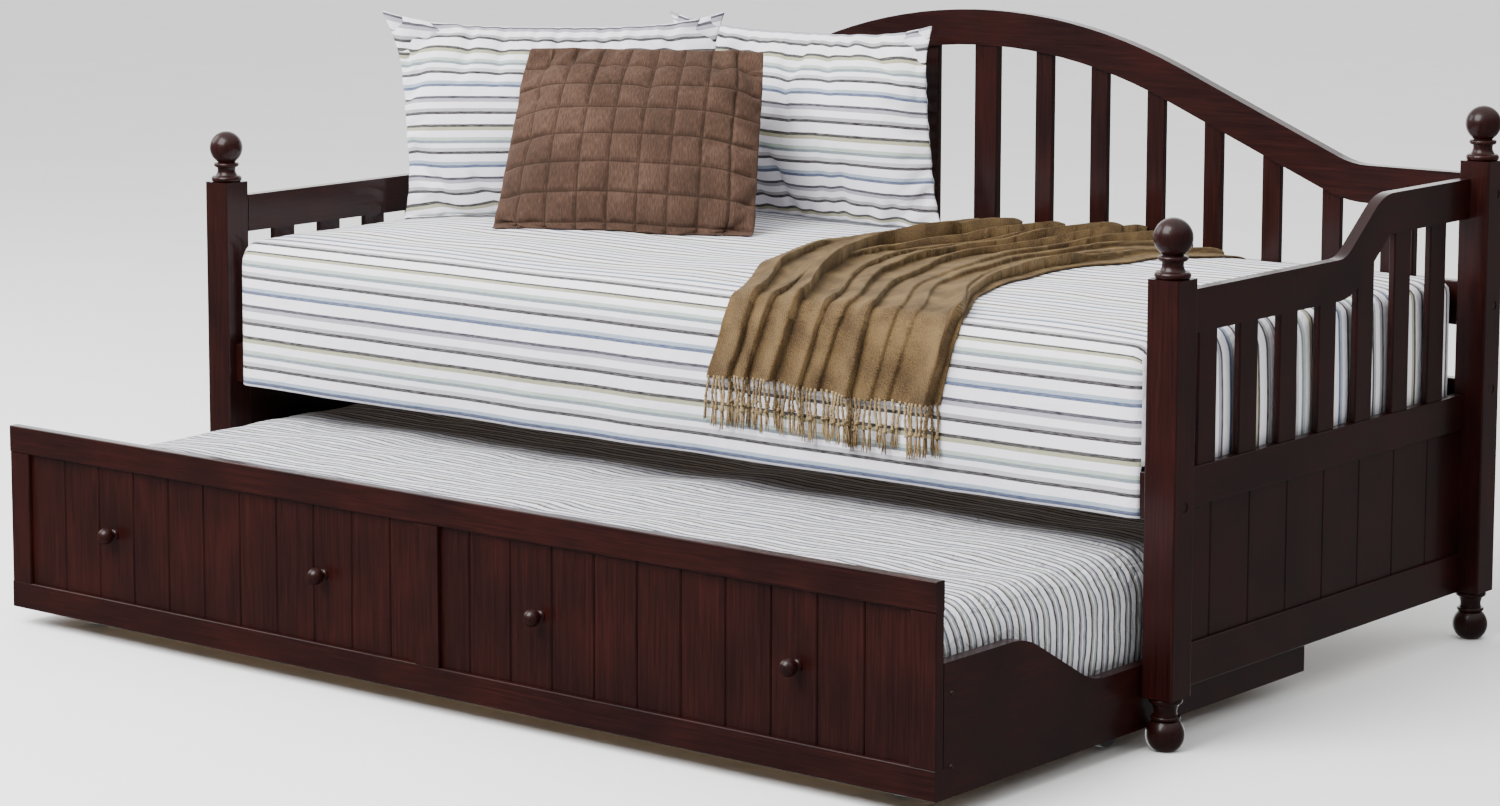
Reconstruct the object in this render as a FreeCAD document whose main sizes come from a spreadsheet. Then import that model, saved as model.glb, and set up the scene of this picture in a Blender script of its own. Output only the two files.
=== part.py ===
"""Trundle daybed: a slatted daybed with an arched back and a castored trundle under it.

Frame: +Z up, floor at Z = 0, +X along the length, -Y towards the open front.
The origin is on the floor, under the middle of the daybed's four posts.
All sizes are millimetres and live in the spreadsheet called Sizes.
"""
import FreeCAD, Part
import math
import os
import re
import Sketcher

Vector = FreeCAD.Vector

# ---------------------------------------------------------------- driving sizes

SIZES = {
    # posts, turned feet and finials
    "bed_length": 2080, "bed_depth": 1016, "post_size": 55, "post_ease": 3,
    "front_post_top": 720, "rear_post_top": 818, "foot_height": 82,
    "bun_radius": 30, "bun_height": 24, "foot_ring_radius": 24, "foot_neck_radius": 18.5,
    "foot_collar_radius": 26, "ball_radius": 30, "finial_height": 92,
    # bolts
    "bolt_radius": 3, "bolt_hole_radius": 3.25, "bolt_head_radius": 7, "bolt_head_height": 4,
    "counterbore_radius": 7.5, "counterbore_depth": 5, "bolt_reach": 40,
    # arms
    "arm_thickness": 20, "arm_low_top": 695, "arm_high_top": 788, "arm_top_width": 67,
    "arm_ramp_start": 25, "arm_ramp_angle": 38, "arm_cove_radius": 60, "arm_crown_radius": 95,
    "arm_mid_bottom": 360, "arm_mid_top": 422, "arm_low_bottom": 82, "arm_low_rail_top": 149,
    "arm_slat_count": 7, "arm_slat_width": 53, "arm_slat_thickness": 12,
    "panel_recess": 6, "arm_panel_thickness": 10, "arm_boards": 8,
    "groove_width": 5, "groove_depth": 3, "rail_ease": 2.5,
    # back
    "back_inset": 12, "back_thickness": 24, "arch_top": 1027, "arch_width": 65,
    "arch_radius": 1080, "arch_angle": 22.8, "shoulder_top": 795, "shoulder_radius": 150,
    "back_low_bottom": 536, "back_low_top": 611, "back_slat_first": 127, "back_slat_pitch": 120,
    "back_slat_count": 6, "back_slat_width": 37, "back_slat_thickness": 12,
    "centre_stile_width": 50, "end_stile_width": 63, "end_stile_inset": 128,
    # bed base
    "rail_bottom": 354, "front_rail_width": 70, "front_rail_thickness": 22, "front_rail_set": 18,
    "back_rail_width": 90, "ledge_height": 25, "ledge_depth": 35, "slat_count": 11, "slat_width": 70, "slat_thickness": 18, "slat_end_gap": 117,
    # trundle
    "trundle_gap": 3.5, "trundle_depth": 1014, "trundle_out": 524, "trundle_bottom": 30,
    "trundle_top": 348, "trundle_frame": 20, "trundle_border": 46, "mullion_width": 50,
    "trundle_recess": 8, "trundle_panel_thickness": 9, "trundle_boards": 22,
    "side_high_top": 228, "side_low_top": 130, "side_ramp_start": 187, "side_ramp_angle": 29,
    "side_ramp_radius": 140, "bearer_height": 30, "bearer_width": 70, "bearer_bottom": 66,
    "trundle_slat_count": 9, "trundle_slat_width": 70, "trundle_slat_thickness": 14,
    # knobs
    "knob_radius": 14, "knob_reach": 34, "knob_neck_radius": 6, "knob_base_radius": 10,
    "knob_inset": 207.2,
    # castors
    "wheel_radius": 30, "wheel_width": 22, "wheel_round": 3, "axle_radius": 4, "bore_radius": 4.05,
    "fork_gap": 2, "fork_wall": 3, "fork_width": 36, "castor_set": 92,
    "castor_mid_inset": 31, "castor_end_inset": 101,
    # bedding
    "cloth_gap": 4, "cover_thickness": 4, "mattress_height": 211, "cover_hem": 351,
    "trundle_mattress_height": 180, "trundle_mattress_gap": 10, "mattress_ease": 30,
    "pillow_width": 640, "pillow_height": 355, "pillow_thickness": 125,
    "left_pillow_x": -708, "left_pillow_y": 100, "right_pillow_x": -370, "right_pillow_y": 379,
    "cushion_width": 468, "cushion_height": 380, "cushion_thickness": 105,
    "cushion_x": -451, "cushion_y": -31,
    "throw_left": 126, "throw_right": 640, "throw_corner": 174, "throw_tail_left": -50,
    "throw_waist": 500, "throw_tail_right": 600, "throw_thickness": 13, "throw_bulk": 24,
    "throw_hem": 395, "throw_back": 455,
}

# Values that follow from the driving sizes, as formulas on their names.
DERIVED = {
    "half_length": "bed_length / 2",
    "half_depth": "bed_depth / 2",
    "post_inner": "half_length - post_size",
    "post_centre_x": "half_length - post_size / 2",
    "post_centre_y": "half_depth - post_size / 2",
    "post_inner_y": "half_depth - post_size",
    "arm_outer": "post_inner + arm_thickness",
    "arm_ramp_drop": "1 - cos(arm_ramp_angle)",
    "ramp_low_y": "arm_ramp_start + arm_cove_radius * sin(arm_ramp_angle)",
    "ramp_low_z": "arm_low_top + arm_cove_radius * arm_ramp_drop",
    "ramp_high_z": "arm_high_top - arm_crown_radius * arm_ramp_drop",
    "ramp_high_y": "ramp_low_y + (ramp_high_z - ramp_low_z) / tan(arm_ramp_angle)",
    "ramp_end_y": "ramp_high_y + arm_crown_radius * sin(arm_ramp_angle)",
    "cove_wide": "arm_cove_radius + arm_top_width",
    "crown_tight": "arm_crown_radius - arm_top_width",
    "arm_slat_pitch": "(2 * post_inner_y + 48) / (arm_slat_count + 1)",
    "back_face": "half_depth - back_inset - back_thickness",
    "back_middle": "half_depth - back_inset - back_thickness / 2",
    "arch_centre_z": "arch_top - arch_radius",
    "arch_inner_radius": "arch_radius - arch_width",
    "incline_x": "arch_radius * sin(arch_angle)",
    "incline_z": "arch_centre_z + arch_radius * cos(arch_angle)",
    "cove_z": "shoulder_top + shoulder_radius * (1 - cos(arch_angle))",
    "cove_x": "incline_x + (incline_z - cove_z) / tan(arch_angle)",
    "shoulder_x": "cove_x + shoulder_radius * sin(arch_angle)",
    "shoulder_wide": "shoulder_radius + arch_width",
    "front_rail_face": "-half_depth + front_rail_set",
    "front_rail_back": "front_rail_face + front_rail_thickness",
    "slat_bottom": "rail_bottom + ledge_height",
    "slat_top": "slat_bottom + slat_thickness",
    "slat_end": "-front_rail_back - 3",
    "slat_first": "slat_end_gap - post_inner",
    "slat_pitch": "-2 * slat_first / (slat_count - 1)",
    "front_bolt_z": "rail_bottom + 22",
    "back_bolt_z": "rail_bottom + back_rail_width - 13",
    "trundle_half": "post_inner - trundle_gap",
    "trundle_front": "-half_depth - trundle_out",
    "trundle_inner_y": "trundle_front + trundle_frame",
    "trundle_rear": "trundle_front + trundle_depth",
    "side_inner": "trundle_half - trundle_frame",
    "opening_low": "trundle_bottom + trundle_border",
    "opening_high": "trundle_top - trundle_border",
    "opening_half": "trundle_half - trundle_border",
    "side_drop": "1 - cos(side_ramp_angle)",
    "side_ramp_y": "trundle_front + side_ramp_start",
    "side_ramp_run": "(side_high_top - side_low_top - 2 * side_ramp_radius * side_drop)"
                     " / tan(side_ramp_angle)",
    "side_arc_run": "side_ramp_radius * sin(side_ramp_angle)",
    "knob_inner": "mullion_width / 2 + knob_inset",
    "knob_outer": "opening_half - knob_inset",
    "deck_bottom": "bearer_bottom + bearer_height",
    "deck_top": "deck_bottom + trundle_slat_thickness",
    "cover_back": "back_face - cloth_gap",
    "cover_front": "front_rail_face - cloth_gap / 2 - cover_thickness - 1",
    "cover_half": "post_inner - 9",
    "mattress_front": "front_rail_back + cloth_gap",
    "mattress_top_z": "slat_top + mattress_height",
    "cover_top": "mattress_top_z + cover_thickness + 2",
}

doc = FreeCAD.newDocument("trundle_daybed")
sheet = doc.addObject("Spreadsheet::Sheet", "Sizes")
for row, (alias, value) in enumerate(SIZES.items(), start=1):
    sheet.set(f"A{row}", alias)
    sheet.set(f"B{row}", str(value))
    sheet.setAlias(f"B{row}", alias)
doc.recompute()

nodes = {}


def formula(text):
    """Turn plain size names into spreadsheet references."""
    def swap(match):
        word = match.group(0)
        if word in DERIVED:
            return "(" + formula(DERIVED[word]) + ")"
        return "Sizes." + word if word in SIZES else word
    return re.sub(r"[a-z][a-z_]*", swap, str(text))


def number(text):
    """The present value of a formula."""
    return float(sheet.evalExpression(formula(text)))


def bind(item, prop, text):
    item.setExpression(prop, formula(text))


def place(item, x=0, y=0, z=0, axis=Vector(0, 0, 1), angle=0):
    """Turn an object by a fixed angle and bind its position to formulas."""
    item.Placement = FreeCAD.Placement(Vector(), FreeCAD.Rotation(axis, angle))
    for letter, text in zip("xyz", (x, y, z)):
        bind(item, f"Placement.Base.{letter}", text)
    return item


def node(item, name):
    """Make an object a sub-part of the bed, under its own name."""
    item.Label = name
    nodes[name] = item
    return item


# ---------------------------------------------------------------- shape helpers

def box(low, high):
    """A box between two corners given as formulas."""
    item = doc.addObject("Part::Box", "block")
    for prop, near, far in zip(("Length", "Width", "Height"), low, high):
        bind(item, prop, f"({far}) - ({near})")
    return place(item, *low)


def cylinder(radius, length, x, y, z, axis=Vector(0, 0, 1), angle=0):
    item = doc.addObject("Part::Cylinder", "round")
    bind(item, "Radius", radius)
    bind(item, "Height", length)
    return place(item, x, y, z, axis, angle)


def join(items):
    item = doc.addObject("Part::MultiFuse", "joined")
    item.Shapes = items
    return item


def group(items):
    """Separate identical solids kept together as one sub-part."""
    item = doc.addObject("Part::Compound", "group")
    item.Links = items
    return item


def cut(base, tools):
    item = doc.addObject("Part::Cut", "cut")
    item.Base = base
    item.Tool = tools[0] if len(tools) == 1 else join(tools)
    return item


def within(base, blank):
    """The part of a base that lies inside a blank."""
    item = doc.addObject("Part::Common", "trimmed")
    item.Base = base
    item.Tool = blank
    return item


def new_body(name):
    return doc.addObject("PartDesign::Body", name)


def new_sketch(body, role):
    plane = [item for item in body.Origin.OriginFeatures if item.Role == role][0]
    sketch = body.newObject("Sketcher::SketchObject", "profile")
    sketch.AttachmentSupport = [(plane, "")]
    sketch.MapMode = "FlatFace"
    return sketch


def outline(sketch, steps):
    """Draw a closed outline whose corners, and arcs' radii, are formulas.

    Each step is (x, y) or (x, y, radius, turn): the edge that leaves the corner is then an
    arc, which turns "left" or "right" on its way to the next corner.
    """
    corners = [Vector(number(step[0]), number(step[1]), 0) for step in steps]
    count = len(steps)
    starts, ends = [], []
    for index, step in enumerate(steps):
        here, there = corners[index], corners[(index + 1) % count]
        if len(step) == 2:
            sketch.addGeometry(Part.LineSegment(here, there), False)
            starts.append(1)
            ends.append(2)
            continue
        radius, side = number(step[2]), (1 if step[3] == "left" else -1)
        chord = there - here
        reach = math.sqrt(max(radius ** 2 - (chord.Length / 2) ** 2, 0))
        across = Vector(-chord.y, chord.x, 0).normalize()
        centre = (here + there) * 0.5 + across * reach * side
        first, last = (here, there) if side > 0 else (there, here)
        angles = [math.atan2(point.y - centre.y, point.x - centre.x) for point in (first, last)]
        if angles[1] < angles[0]:
            angles[1] += 2 * math.pi
        circle = Part.Circle(centre, Vector(0, 0, 1), radius)
        sketch.addGeometry(Part.ArcOfCircle(circle, *angles), False)
        starts.append(1 if side > 0 else 2)
        ends.append(2 if side > 0 else 1)
    for index in range(count):
        after = (index + 1) % count
        sketch.addConstraint(Sketcher.Constraint("Coincident", index, ends[index], after, starts[after]))
    for index, step in enumerate(steps):
        wanted = [("DistanceX", step[0], corners[index].x), ("DistanceY", step[1], corners[index].y)]
        for kind, text, value in wanted:
            made = sketch.addConstraint(Sketcher.Constraint(kind, -1, 1, index, starts[index], value))
            if re.search("[a-z]", str(text)):
                sketch.setExpression(f"Constraints[{made}]", formula(text))
        if len(step) > 2:
            made = sketch.addConstraint(Sketcher.Constraint("Radius", index, number(step[2])))
            sketch.setExpression(f"Constraints[{made}]", formula(step[2]))
    return sketch


def pad(body, role, steps, thickness, backwards=False):
    """Thicken an outline. The body's own +X or +Z, or +Y when backwards, is the way it grows."""
    feature = body.newObject("PartDesign::Pad", "pad")
    feature.Profile = outline(new_sketch(body, role), steps)
    bind(feature, "Length", thickness)
    feature.Reversed = backwards
    doc.recompute()
    return feature


def ease(body, base, axis, radius):
    """Round the straight edges of a feature that run along one axis."""
    names = []
    for index, edge in enumerate(base.Shape.Edges, start=1):
        if edge.Curve.TypeId == "Part::GeomLine" and abs(edge.tangentAt(edge.FirstParameter).dot(axis)) > 0.999:
            names.append(f"Edge{index}")
    feature = body.newObject("PartDesign::Fillet", "ease")
    feature.Base = (base, names)
    bind(feature, "Radius", radius)
    doc.recompute()
    return feature


def turned(name, steps, role="XZ_Plane", axis="V_Axis"):
    """A turned piece: an outline in (radius, height), spun about its upright axis."""
    body = new_body(name)
    sketch = outline(new_sketch(body, role), steps)
    feature = body.newObject("PartDesign::Revolution", "turning")
    feature.Profile = sketch
    feature.ReferenceAxis = (sketch, [axis])
    feature.Angle = 360
    doc.recompute()
    return body


def rectangle(x_low, y_low, x_high, y_high):
    return [(x_low, y_low), (x_high, y_low), (x_high, y_high), (x_low, y_high)]


# The plane that a bar's section lies in, and the bar's two section directions, by its run.
SECTION = {"x": ("YZ_Plane", 1, 2), "y": ("XZ_Plane", 0, 2), "z": ("XY_Plane", 0, 1)}


def bar(name, low, high, along, radius="rail_ease"):
    """A straight bar between two corners, with its long edges eased."""
    body = new_body(name)
    role, across, up = SECTION[along]
    run = "xyz".index(along)
    section = rectangle(0, 0, f"({high[across]}) - ({low[across]})", f"({high[up]}) - ({low[up]})")
    base = pad(body, role, section, f"({high[run]}) - ({low[run]})", backwards=along == "y")
    direction = [Vector(1, 0, 0), Vector(0, 1, 0), Vector(0, 0, 1)][run]
    ease(body, base, direction, radius)
    return place(body, *low)


def row_of_slats(name, width, thickness, height, pitch, count, along):
    """A row of upright slats with eased edges, centred on the body's origin."""
    body = new_body(name)
    span = f"({pitch}) * (({count}) - 1) / 2"
    half = {"x": (f"({width}) / 2", f"({thickness}) / 2"), "y": (f"({thickness}) / 2", f"({width}) / 2")}[along]
    middle = {"x": (f"-({span})", 0), "y": (0, f"-({span})")}[along]
    section = rectangle(f"{middle[0]} - {half[0]}", f"{middle[1]} - {half[1]}",
                        f"{middle[0]} + {half[0]}", f"{middle[1]} + {half[1]}")
    base = pad(body, "XY_Plane", section, height)
    first = ease(body, base, Vector(0, 0, 1), "rail_ease")
    pattern = body.newObject("PartDesign::LinearPattern", "row")
    pattern.Originals = [base, first]
    role = {"x": "X_Axis", "y": "Y_Axis"}[along]
    pattern.Direction = ([item for item in body.Origin.OriginFeatures if item.Role == role][0], [""])
    bind(pattern, "Length", f"({pitch}) * (({count}) - 1)")
    bind(pattern, "Occurrences", count)
    body.Tip = pattern
    doc.recompute()
    return body


def grooved_panel(name, length, height, thickness, boards):
    """A panel of tongue-and-groove boards. Its grooved face is the body's X = 0 plane."""
    body = new_body(name)
    section = rectangle(f"-({length}) / 2", 0, f"({length}) / 2", height)
    base = pad(body, "YZ_Plane", section, thickness)
    board = f"({length}) / ({boards})"
    first = f"-({length}) / 2 + {board}"
    vee = [(0, f"{first} - groove_width / 2"), ("groove_depth", first), (0, f"{first} + groove_width / 2")]
    groove = body.newObject("PartDesign::Pocket", "groove")
    groove.Profile = outline(new_sketch(body, "XY_Plane"), vee)
    groove.Type = "ThroughAll"
    groove.Reversed = True
    doc.recompute()
    if groove.Shape.Volume >= base.Shape.Volume:
        raise RuntimeError(f"{name}: the groove cut nothing")
    pattern = body.newObject("PartDesign::LinearPattern", "grooves")
    pattern.Originals = [groove]
    pattern.Direction = ([item for item in body.Origin.OriginFeatures if item.Role == "Y_Axis"][0], [""])
    bind(pattern, "Length", f"{board} * (({boards}) - 2)")
    bind(pattern, "Occurrences", f"({boards}) - 1")
    body.Tip = pattern
    doc.recompute()
    cut_by_one = base.Shape.Volume - groove.Shape.Volume
    wanted = base.Shape.Volume - cut_by_one * (number(boards) - 1)
    if abs(pattern.Shape.Volume - wanted) > cut_by_one / 10:
        raise RuntimeError(f"{name}: grooves are missing")
    return body


# ---------------------------------------------------------------- posts and finials

SIDES = {"left": -1, "right": 1}
ENDS = {"front": -1, "rear": 1}
TOWARDS_X = Vector(0, 1, 0)


def bolt_places():
    """Every frame bolt, as (end of the bed, Y, Z)."""
    front = ("front", "front_rail_face + front_rail_thickness / 2", "front_bolt_z")
    rear_heights = ["back_bolt_z", "(back_low_bottom + back_low_top) / 2", "shoulder_top - arch_width / 2"]
    return [front] + [("rear", "back_middle", height) for height in rear_heights]


def bolt_line(side, radius, start, length, y, z):
    """A round along X that starts at a distance inside the outer face of the posts."""
    sign = SIDES[side]
    x = f"{sign} * (half_length - ({start}))"
    return cylinder(radius, length, x, y, z, TOWARDS_X, -90 * sign)


def foot_turning():
    """The turned bun foot below a post, as an outline of radius and height."""
    sole = "sqrt(bun_radius ^ 2 - bun_height ^ 2)"
    bun_top = "bun_height + sqrt(bun_radius ^ 2 - foot_neck_radius ^ 2)"
    return [
        (0, 0), (sole, 0, "bun_radius", "left"), ("foot_neck_radius", bun_top),
        ("foot_ring_radius - 3", bun_top, "3.2", "left"), ("foot_ring_radius - 3", f"{bun_top} + 6"),
        ("foot_neck_radius", f"{bun_top} + 6", "20", "right"),
        ("foot_collar_radius - 4", "foot_height - 9.5", "4.8", "left"),
        ("foot_collar_radius - 4", "foot_height"), (0, "foot_height"),
    ]


def post(side, end):
    """A square post with eased edges, its turned foot and its bolt holes."""
    body = new_body("post_blank")
    height = f"{end}_post_top - foot_height"
    half = "post_size / 2"
    base = pad(body, "XY_Plane", rectangle(f"-{half}", f"-{half}", half, half), height)
    ease(body, base, Vector(0, 0, 1), "post_ease")
    x = f"{SIDES[side]} * post_centre_x"
    y = f"{ENDS[end]} * post_centre_y"
    place(body, x, y, "foot_height")
    foot = place(turned("foot", foot_turning()), x, y, 0)
    blank = join([body, foot])
    holes = []
    for where, hole_y, hole_z in bolt_places():
        if where == end:
            holes.append(bolt_line(side, "bolt_hole_radius", "-1", "post_size + 2", hole_y, hole_z))
            holes.append(bolt_line(side, "counterbore_radius", "-1", "counterbore_depth + 1", hole_y, hole_z))
    node(cut(blank, holes), f"post_{end}_{side}")


def finial(side, end):
    """A turned ball finial on top of a post."""
    ball_z = "finial_height - ball_radius"
    neck = "16"
    ball_low = f"({ball_z}) - sqrt(ball_radius ^ 2 - {neck} ^ 2)"
    steps = [
        (0, 0), (24, 0, "6", "left"), (24, 11), ("21", 11, "14", "right"), ("17.5", 27),
        ("20", 27, "4.2", "left"), ("20", "35"), (neck, "35"), (neck, ball_low, "ball_radius", "left"),
        (0, "finial_height"),
    ]
    body = turned("finial", steps)
    place(body, f"{SIDES[side]} * post_centre_x", f"{ENDS[end]} * post_centre_y", f"{end}_post_top")
    node(body, f"finial_{end}_{side}")


def frame_bolts():
    """Socket bolts through the posts into the rails' ends."""
    bolts = []
    for side in SIDES:
        for _, y, z in bolt_places():
            start = "counterbore_depth"
            head = bolt_line(side, "bolt_head_radius", f"{start} - bolt_head_height", "bolt_head_height", y, z)
            shank = bolt_line(side, "bolt_radius", start, "post_size - counterbore_depth + bolt_reach", y, z)
            bolts.append(join([head, shank]))
    node(group(bolts), "frame_bolts")


def drilled(base, places):
    """A rail with a hole for a bolt in each end."""
    holes = []
    for side in SIDES:
        for y, z in places:
            holes.append(bolt_line(side, "bolt_hole_radius", "post_size - 1", "bolt_reach + 6", y, z))
    return cut(base, holes)


# ---------------------------------------------------------------- arms

def arm_top_edge(offset):
    """The upper edge of an arm's top rail, front to back, moved down by an offset."""
    return {
        "start": ("arm_ramp_start", f"arm_low_top - {offset}"),
        "low": (f"ramp_low_y + {offset} * sin(arm_ramp_angle)", f"ramp_low_z - {offset} * cos(arm_ramp_angle)"),
        "high": (f"ramp_high_y + {offset} * sin(arm_ramp_angle)", f"ramp_high_z - {offset} * cos(arm_ramp_angle)"),
        "end": ("ramp_end_y", f"arm_high_top - {offset}"),
    }


def arm_top_outline():
    upper, lower = arm_top_edge("0"), arm_top_edge("arm_top_width")
    return [
        ("-post_inner_y", "arm_low_top - arm_top_width"), (*lower["start"], "cove_wide", "left"),
        lower["low"], (*lower["high"], "crown_tight", "right"), lower["end"],
        ("post_inner_y", "arm_high_top - arm_top_width"), ("post_inner_y", "arm_high_top"),
        (*upper["end"], "arm_crown_radius", "left"), upper["high"],
        (*upper["low"], "arm_cove_radius", "right"), upper["start"], ("-post_inner_y", "arm_low_top"),
    ]


def arm_opening_outline():
    """The space between an arm's middle and top rails, which its slats fill."""
    lower = arm_top_edge("arm_top_width")
    return [
        ("-post_inner_y", "arm_mid_top"), ("post_inner_y", "arm_mid_top"),
        ("post_inner_y", "arm_high_top - arm_top_width"), (*lower["end"], "crown_tight", "left"),
        lower["high"], (*lower["low"], "cove_wide", "right"), lower["start"],
        ("-post_inner_y", "arm_low_top - arm_top_width"),
    ]


def arm(side):
    """One arm: three rails, a row of slats and a grooved panel between two posts."""
    sign = SIDES[side]
    inner = "post_inner" if sign > 0 else "-arm_outer"
    outer = "arm_outer" if sign > 0 else "-post_inner"
    top = new_body("arm_top")
    pad(top, "YZ_Plane", arm_top_outline(), "arm_thickness")
    node(place(top, inner, 0, 0), f"arm_top_rail_{side}")
    rails = {"arm_middle_rail": ("arm_mid_bottom", "arm_mid_top"),
             "arm_bottom_rail": ("arm_low_bottom", "arm_low_rail_top")}
    for name, (low, high) in rails.items():
        piece = bar(name, (inner, "-post_inner_y", low), (outer, "post_inner_y", high), "y")
        node(piece, f"{name}_{side}")
    slats = row_of_slats("arm_slats", "arm_slat_width", "arm_slat_thickness",
                         "arm_high_top - arm_mid_top", "arm_slat_pitch", "arm_slat_count", "y")
    place(slats, f"{sign} * (arm_outer - arm_thickness / 2)", 0, "arm_mid_top")
    blank = new_body("arm_blank")
    pad(blank, "YZ_Plane", arm_opening_outline(), "arm_thickness")
    place(blank, inner, 0, 0)
    node(within(slats, blank), f"arm_slats_{side}")
    panel = grooved_panel("arm_panel", "2 * post_inner_y", "arm_mid_bottom - arm_low_rail_top",
                          "arm_panel_thickness", "arm_boards")
    place(panel, f"{sign} * (arm_outer - panel_recess)", 0, "arm_low_rail_top",
          angle=180 if sign > 0 else 0)
    node(panel, f"arm_panel_{side}")


# ---------------------------------------------------------------- back

def arch_edge(offset, sign):
    """Three points of the arch's edge: where the crown, the slope and the cove end."""
    crown = (f"{sign} * (incline_x - {offset} * sin(arch_angle))", f"incline_z - {offset} * cos(arch_angle)")
    cove = (f"{sign} * (cove_x - {offset} * sin(arch_angle))", f"cove_z - {offset} * cos(arch_angle)")
    return crown, cove, (f"{sign} * shoulder_x", f"shoulder_top - {offset}")


def arch_outline():
    right, left = arch_edge("0", 1), arch_edge("0", -1)
    low_right, low_left = arch_edge("arch_width", 1), arch_edge("arch_width", -1)
    return [
        ("post_inner", "shoulder_top"), (*right[2], "shoulder_radius", "right"), right[1],
        (*right[0], "arch_radius", "left"), left[0], (*left[1], "shoulder_radius", "right"), left[2],
        ("-post_inner", "shoulder_top"), ("-post_inner", "shoulder_top - arch_width"),
        (*low_left[2], "shoulder_wide", "left"), low_left[1],
        (*low_left[0], "arch_inner_radius", "right"), low_right[0],
        (*low_right[1], "shoulder_wide", "left"), low_right[2],
        ("post_inner", "shoulder_top - arch_width"),
    ]


def back_opening_outline():
    """The space between the lower rail and the arch, which the spindles fill."""
    right, left = arch_edge("arch_width", 1), arch_edge("arch_width", -1)
    return [
        ("-post_inner", "back_low_top"), ("post_inner", "back_low_top"),
        ("post_inner", "shoulder_top - arch_width"), (*right[2], "shoulder_wide", "right"), right[1],
        (*right[0], "arch_inner_radius", "left"), left[0], (*left[1], "shoulder_wide", "right"),
        left[2], ("-post_inner", "shoulder_top - arch_width"),
    ]


def back_blank():
    body = new_body("back_blank")
    pad(body, "XZ_Plane", back_opening_outline(), "back_thickness", backwards=True)
    return place(body, 0, "back_face", 0)


def back_upright(name, width, thickness, centre):
    """A single eased upright of the back, as tall as the arch."""
    half, depth = f"({width}) / 2", f"({thickness}) / 2"
    low = (f"{centre} - {half}", f"back_middle - {depth}", "back_low_top")
    high = (f"{centre} + {half}", f"back_middle + {depth}", "arch_top")
    return bar(name, low, high, "z")


def back():
    """The arched back panel: two rails, a centre stile and spindles, and the bed rail below."""
    arch = new_body("arch")
    pad(arch, "XZ_Plane", arch_outline(), "back_thickness", backwards=True)
    place(arch, 0, "back_face", 0)
    node(drilled(arch, [("back_middle", "shoulder_top - arch_width / 2")]), "back_arch_rail")
    rails = {"back_lower_rail": ("back_low_bottom", "back_low_top", "(back_low_bottom + back_low_top) / 2"),
             "back_bed_rail": ("rail_bottom", "rail_bottom + back_rail_width", "back_bolt_z")}
    for name, (low, high, bolt) in rails.items():
        piece = bar(name, ("-post_inner", "back_face", low),
                    ("post_inner", "back_face + back_thickness", high), "x")
        node(drilled(piece, [("back_middle", bolt)]), name)
    stile = back_upright("centre_stile", "centre_stile_width", "back_slat_thickness + 6", "0")
    node(within(stile, back_blank()), "back_centre_stile")
    for side, sign in SIDES.items():
        slats = row_of_slats("back_slats", "back_slat_width", "back_slat_thickness",
                             "arch_top - back_low_top", "back_slat_pitch", "back_slat_count", "x")
        middle = "back_slat_first + back_slat_pitch * (back_slat_count - 1) / 2"
        place(slats, f"{sign} * ({middle})", "back_middle", "back_low_top")
        end_stile = back_upright("end_stile", "end_stile_width", "back_slat_thickness + 6",
                                 f"{sign} * (post_inner - end_stile_inset)")
        uprights = group([slats, end_stile])
        node(within(uprights, back_blank()), f"back_spindles_{side}")


# ---------------------------------------------------------------- bed base

def bed_base():
    """The front rail, a slat ledge on the inside of each long rail and the slats on the ledges."""
    rail = bar("front_rail", ("-post_inner", "front_rail_face", "rail_bottom"),
               ("post_inner", "front_rail_back", "rail_bottom + front_rail_width"), "x")
    bolt = ("front_rail_face + front_rail_thickness / 2", "front_bolt_z")
    node(drilled(rail, [bolt]), "front_bed_rail")
    ledges = {"front": ("front_rail_back", "front_rail_back + ledge_depth"),
              "rear": ("back_face - ledge_depth", "back_face")}
    for end, (low_y, high_y) in ledges.items():
        piece = bar("ledge", ("-post_inner", low_y, "rail_bottom"),
                    ("post_inner", high_y, "slat_bottom"), "x")
        node(piece, f"slat_ledge_{end}")
    slats = []
    for index in range(SIZES["slat_count"]):
        centre = f"slat_first + slat_pitch * {index}"
        slats.append(box((f"{centre} - slat_width / 2", "-slat_end", "slat_bottom"),
                         (f"{centre} + slat_width / 2", "slat_end", "slat_top")))
    node(group(slats), "bed_slats")


# ---------------------------------------------------------------- trundle

def trundle_front():
    """The framed, grooved front panel of the trundle."""
    front, back_of = "trundle_front", "trundle_inner_y"
    rails = {"trundle_front_bottom_rail": ("trundle_bottom", "opening_low"),
             "trundle_front_top_rail": ("opening_high", "trundle_top")}
    for name, (low, high) in rails.items():
        node(bar(name, ("-trundle_half", front, low), ("trundle_half", back_of, high), "x"), name)
    stiles = {"left": ("-trundle_half", "-opening_half"), "right": ("opening_half", "trundle_half")}
    for side, (low, high) in stiles.items():
        piece = bar("stile", (low, front, "opening_low"), (high, back_of, "opening_high"), "z")
        node(piece, f"trundle_front_stile_{side}")
    mullion = bar("mullion", ("-mullion_width / 2", front, "opening_low"),
                  ("mullion_width / 2", f"{front} + trundle_recess", "opening_high"), "z", "rail_ease / 2")
    node(mullion, "trundle_front_mullion")
    panel = grooved_panel("front_panel", "2 * opening_half", "opening_high - opening_low",
                          "trundle_panel_thickness", "trundle_boards")
    place(panel, 0, "trundle_front + trundle_recess", "opening_low", angle=90)
    node(panel, "trundle_front_panel")


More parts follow.
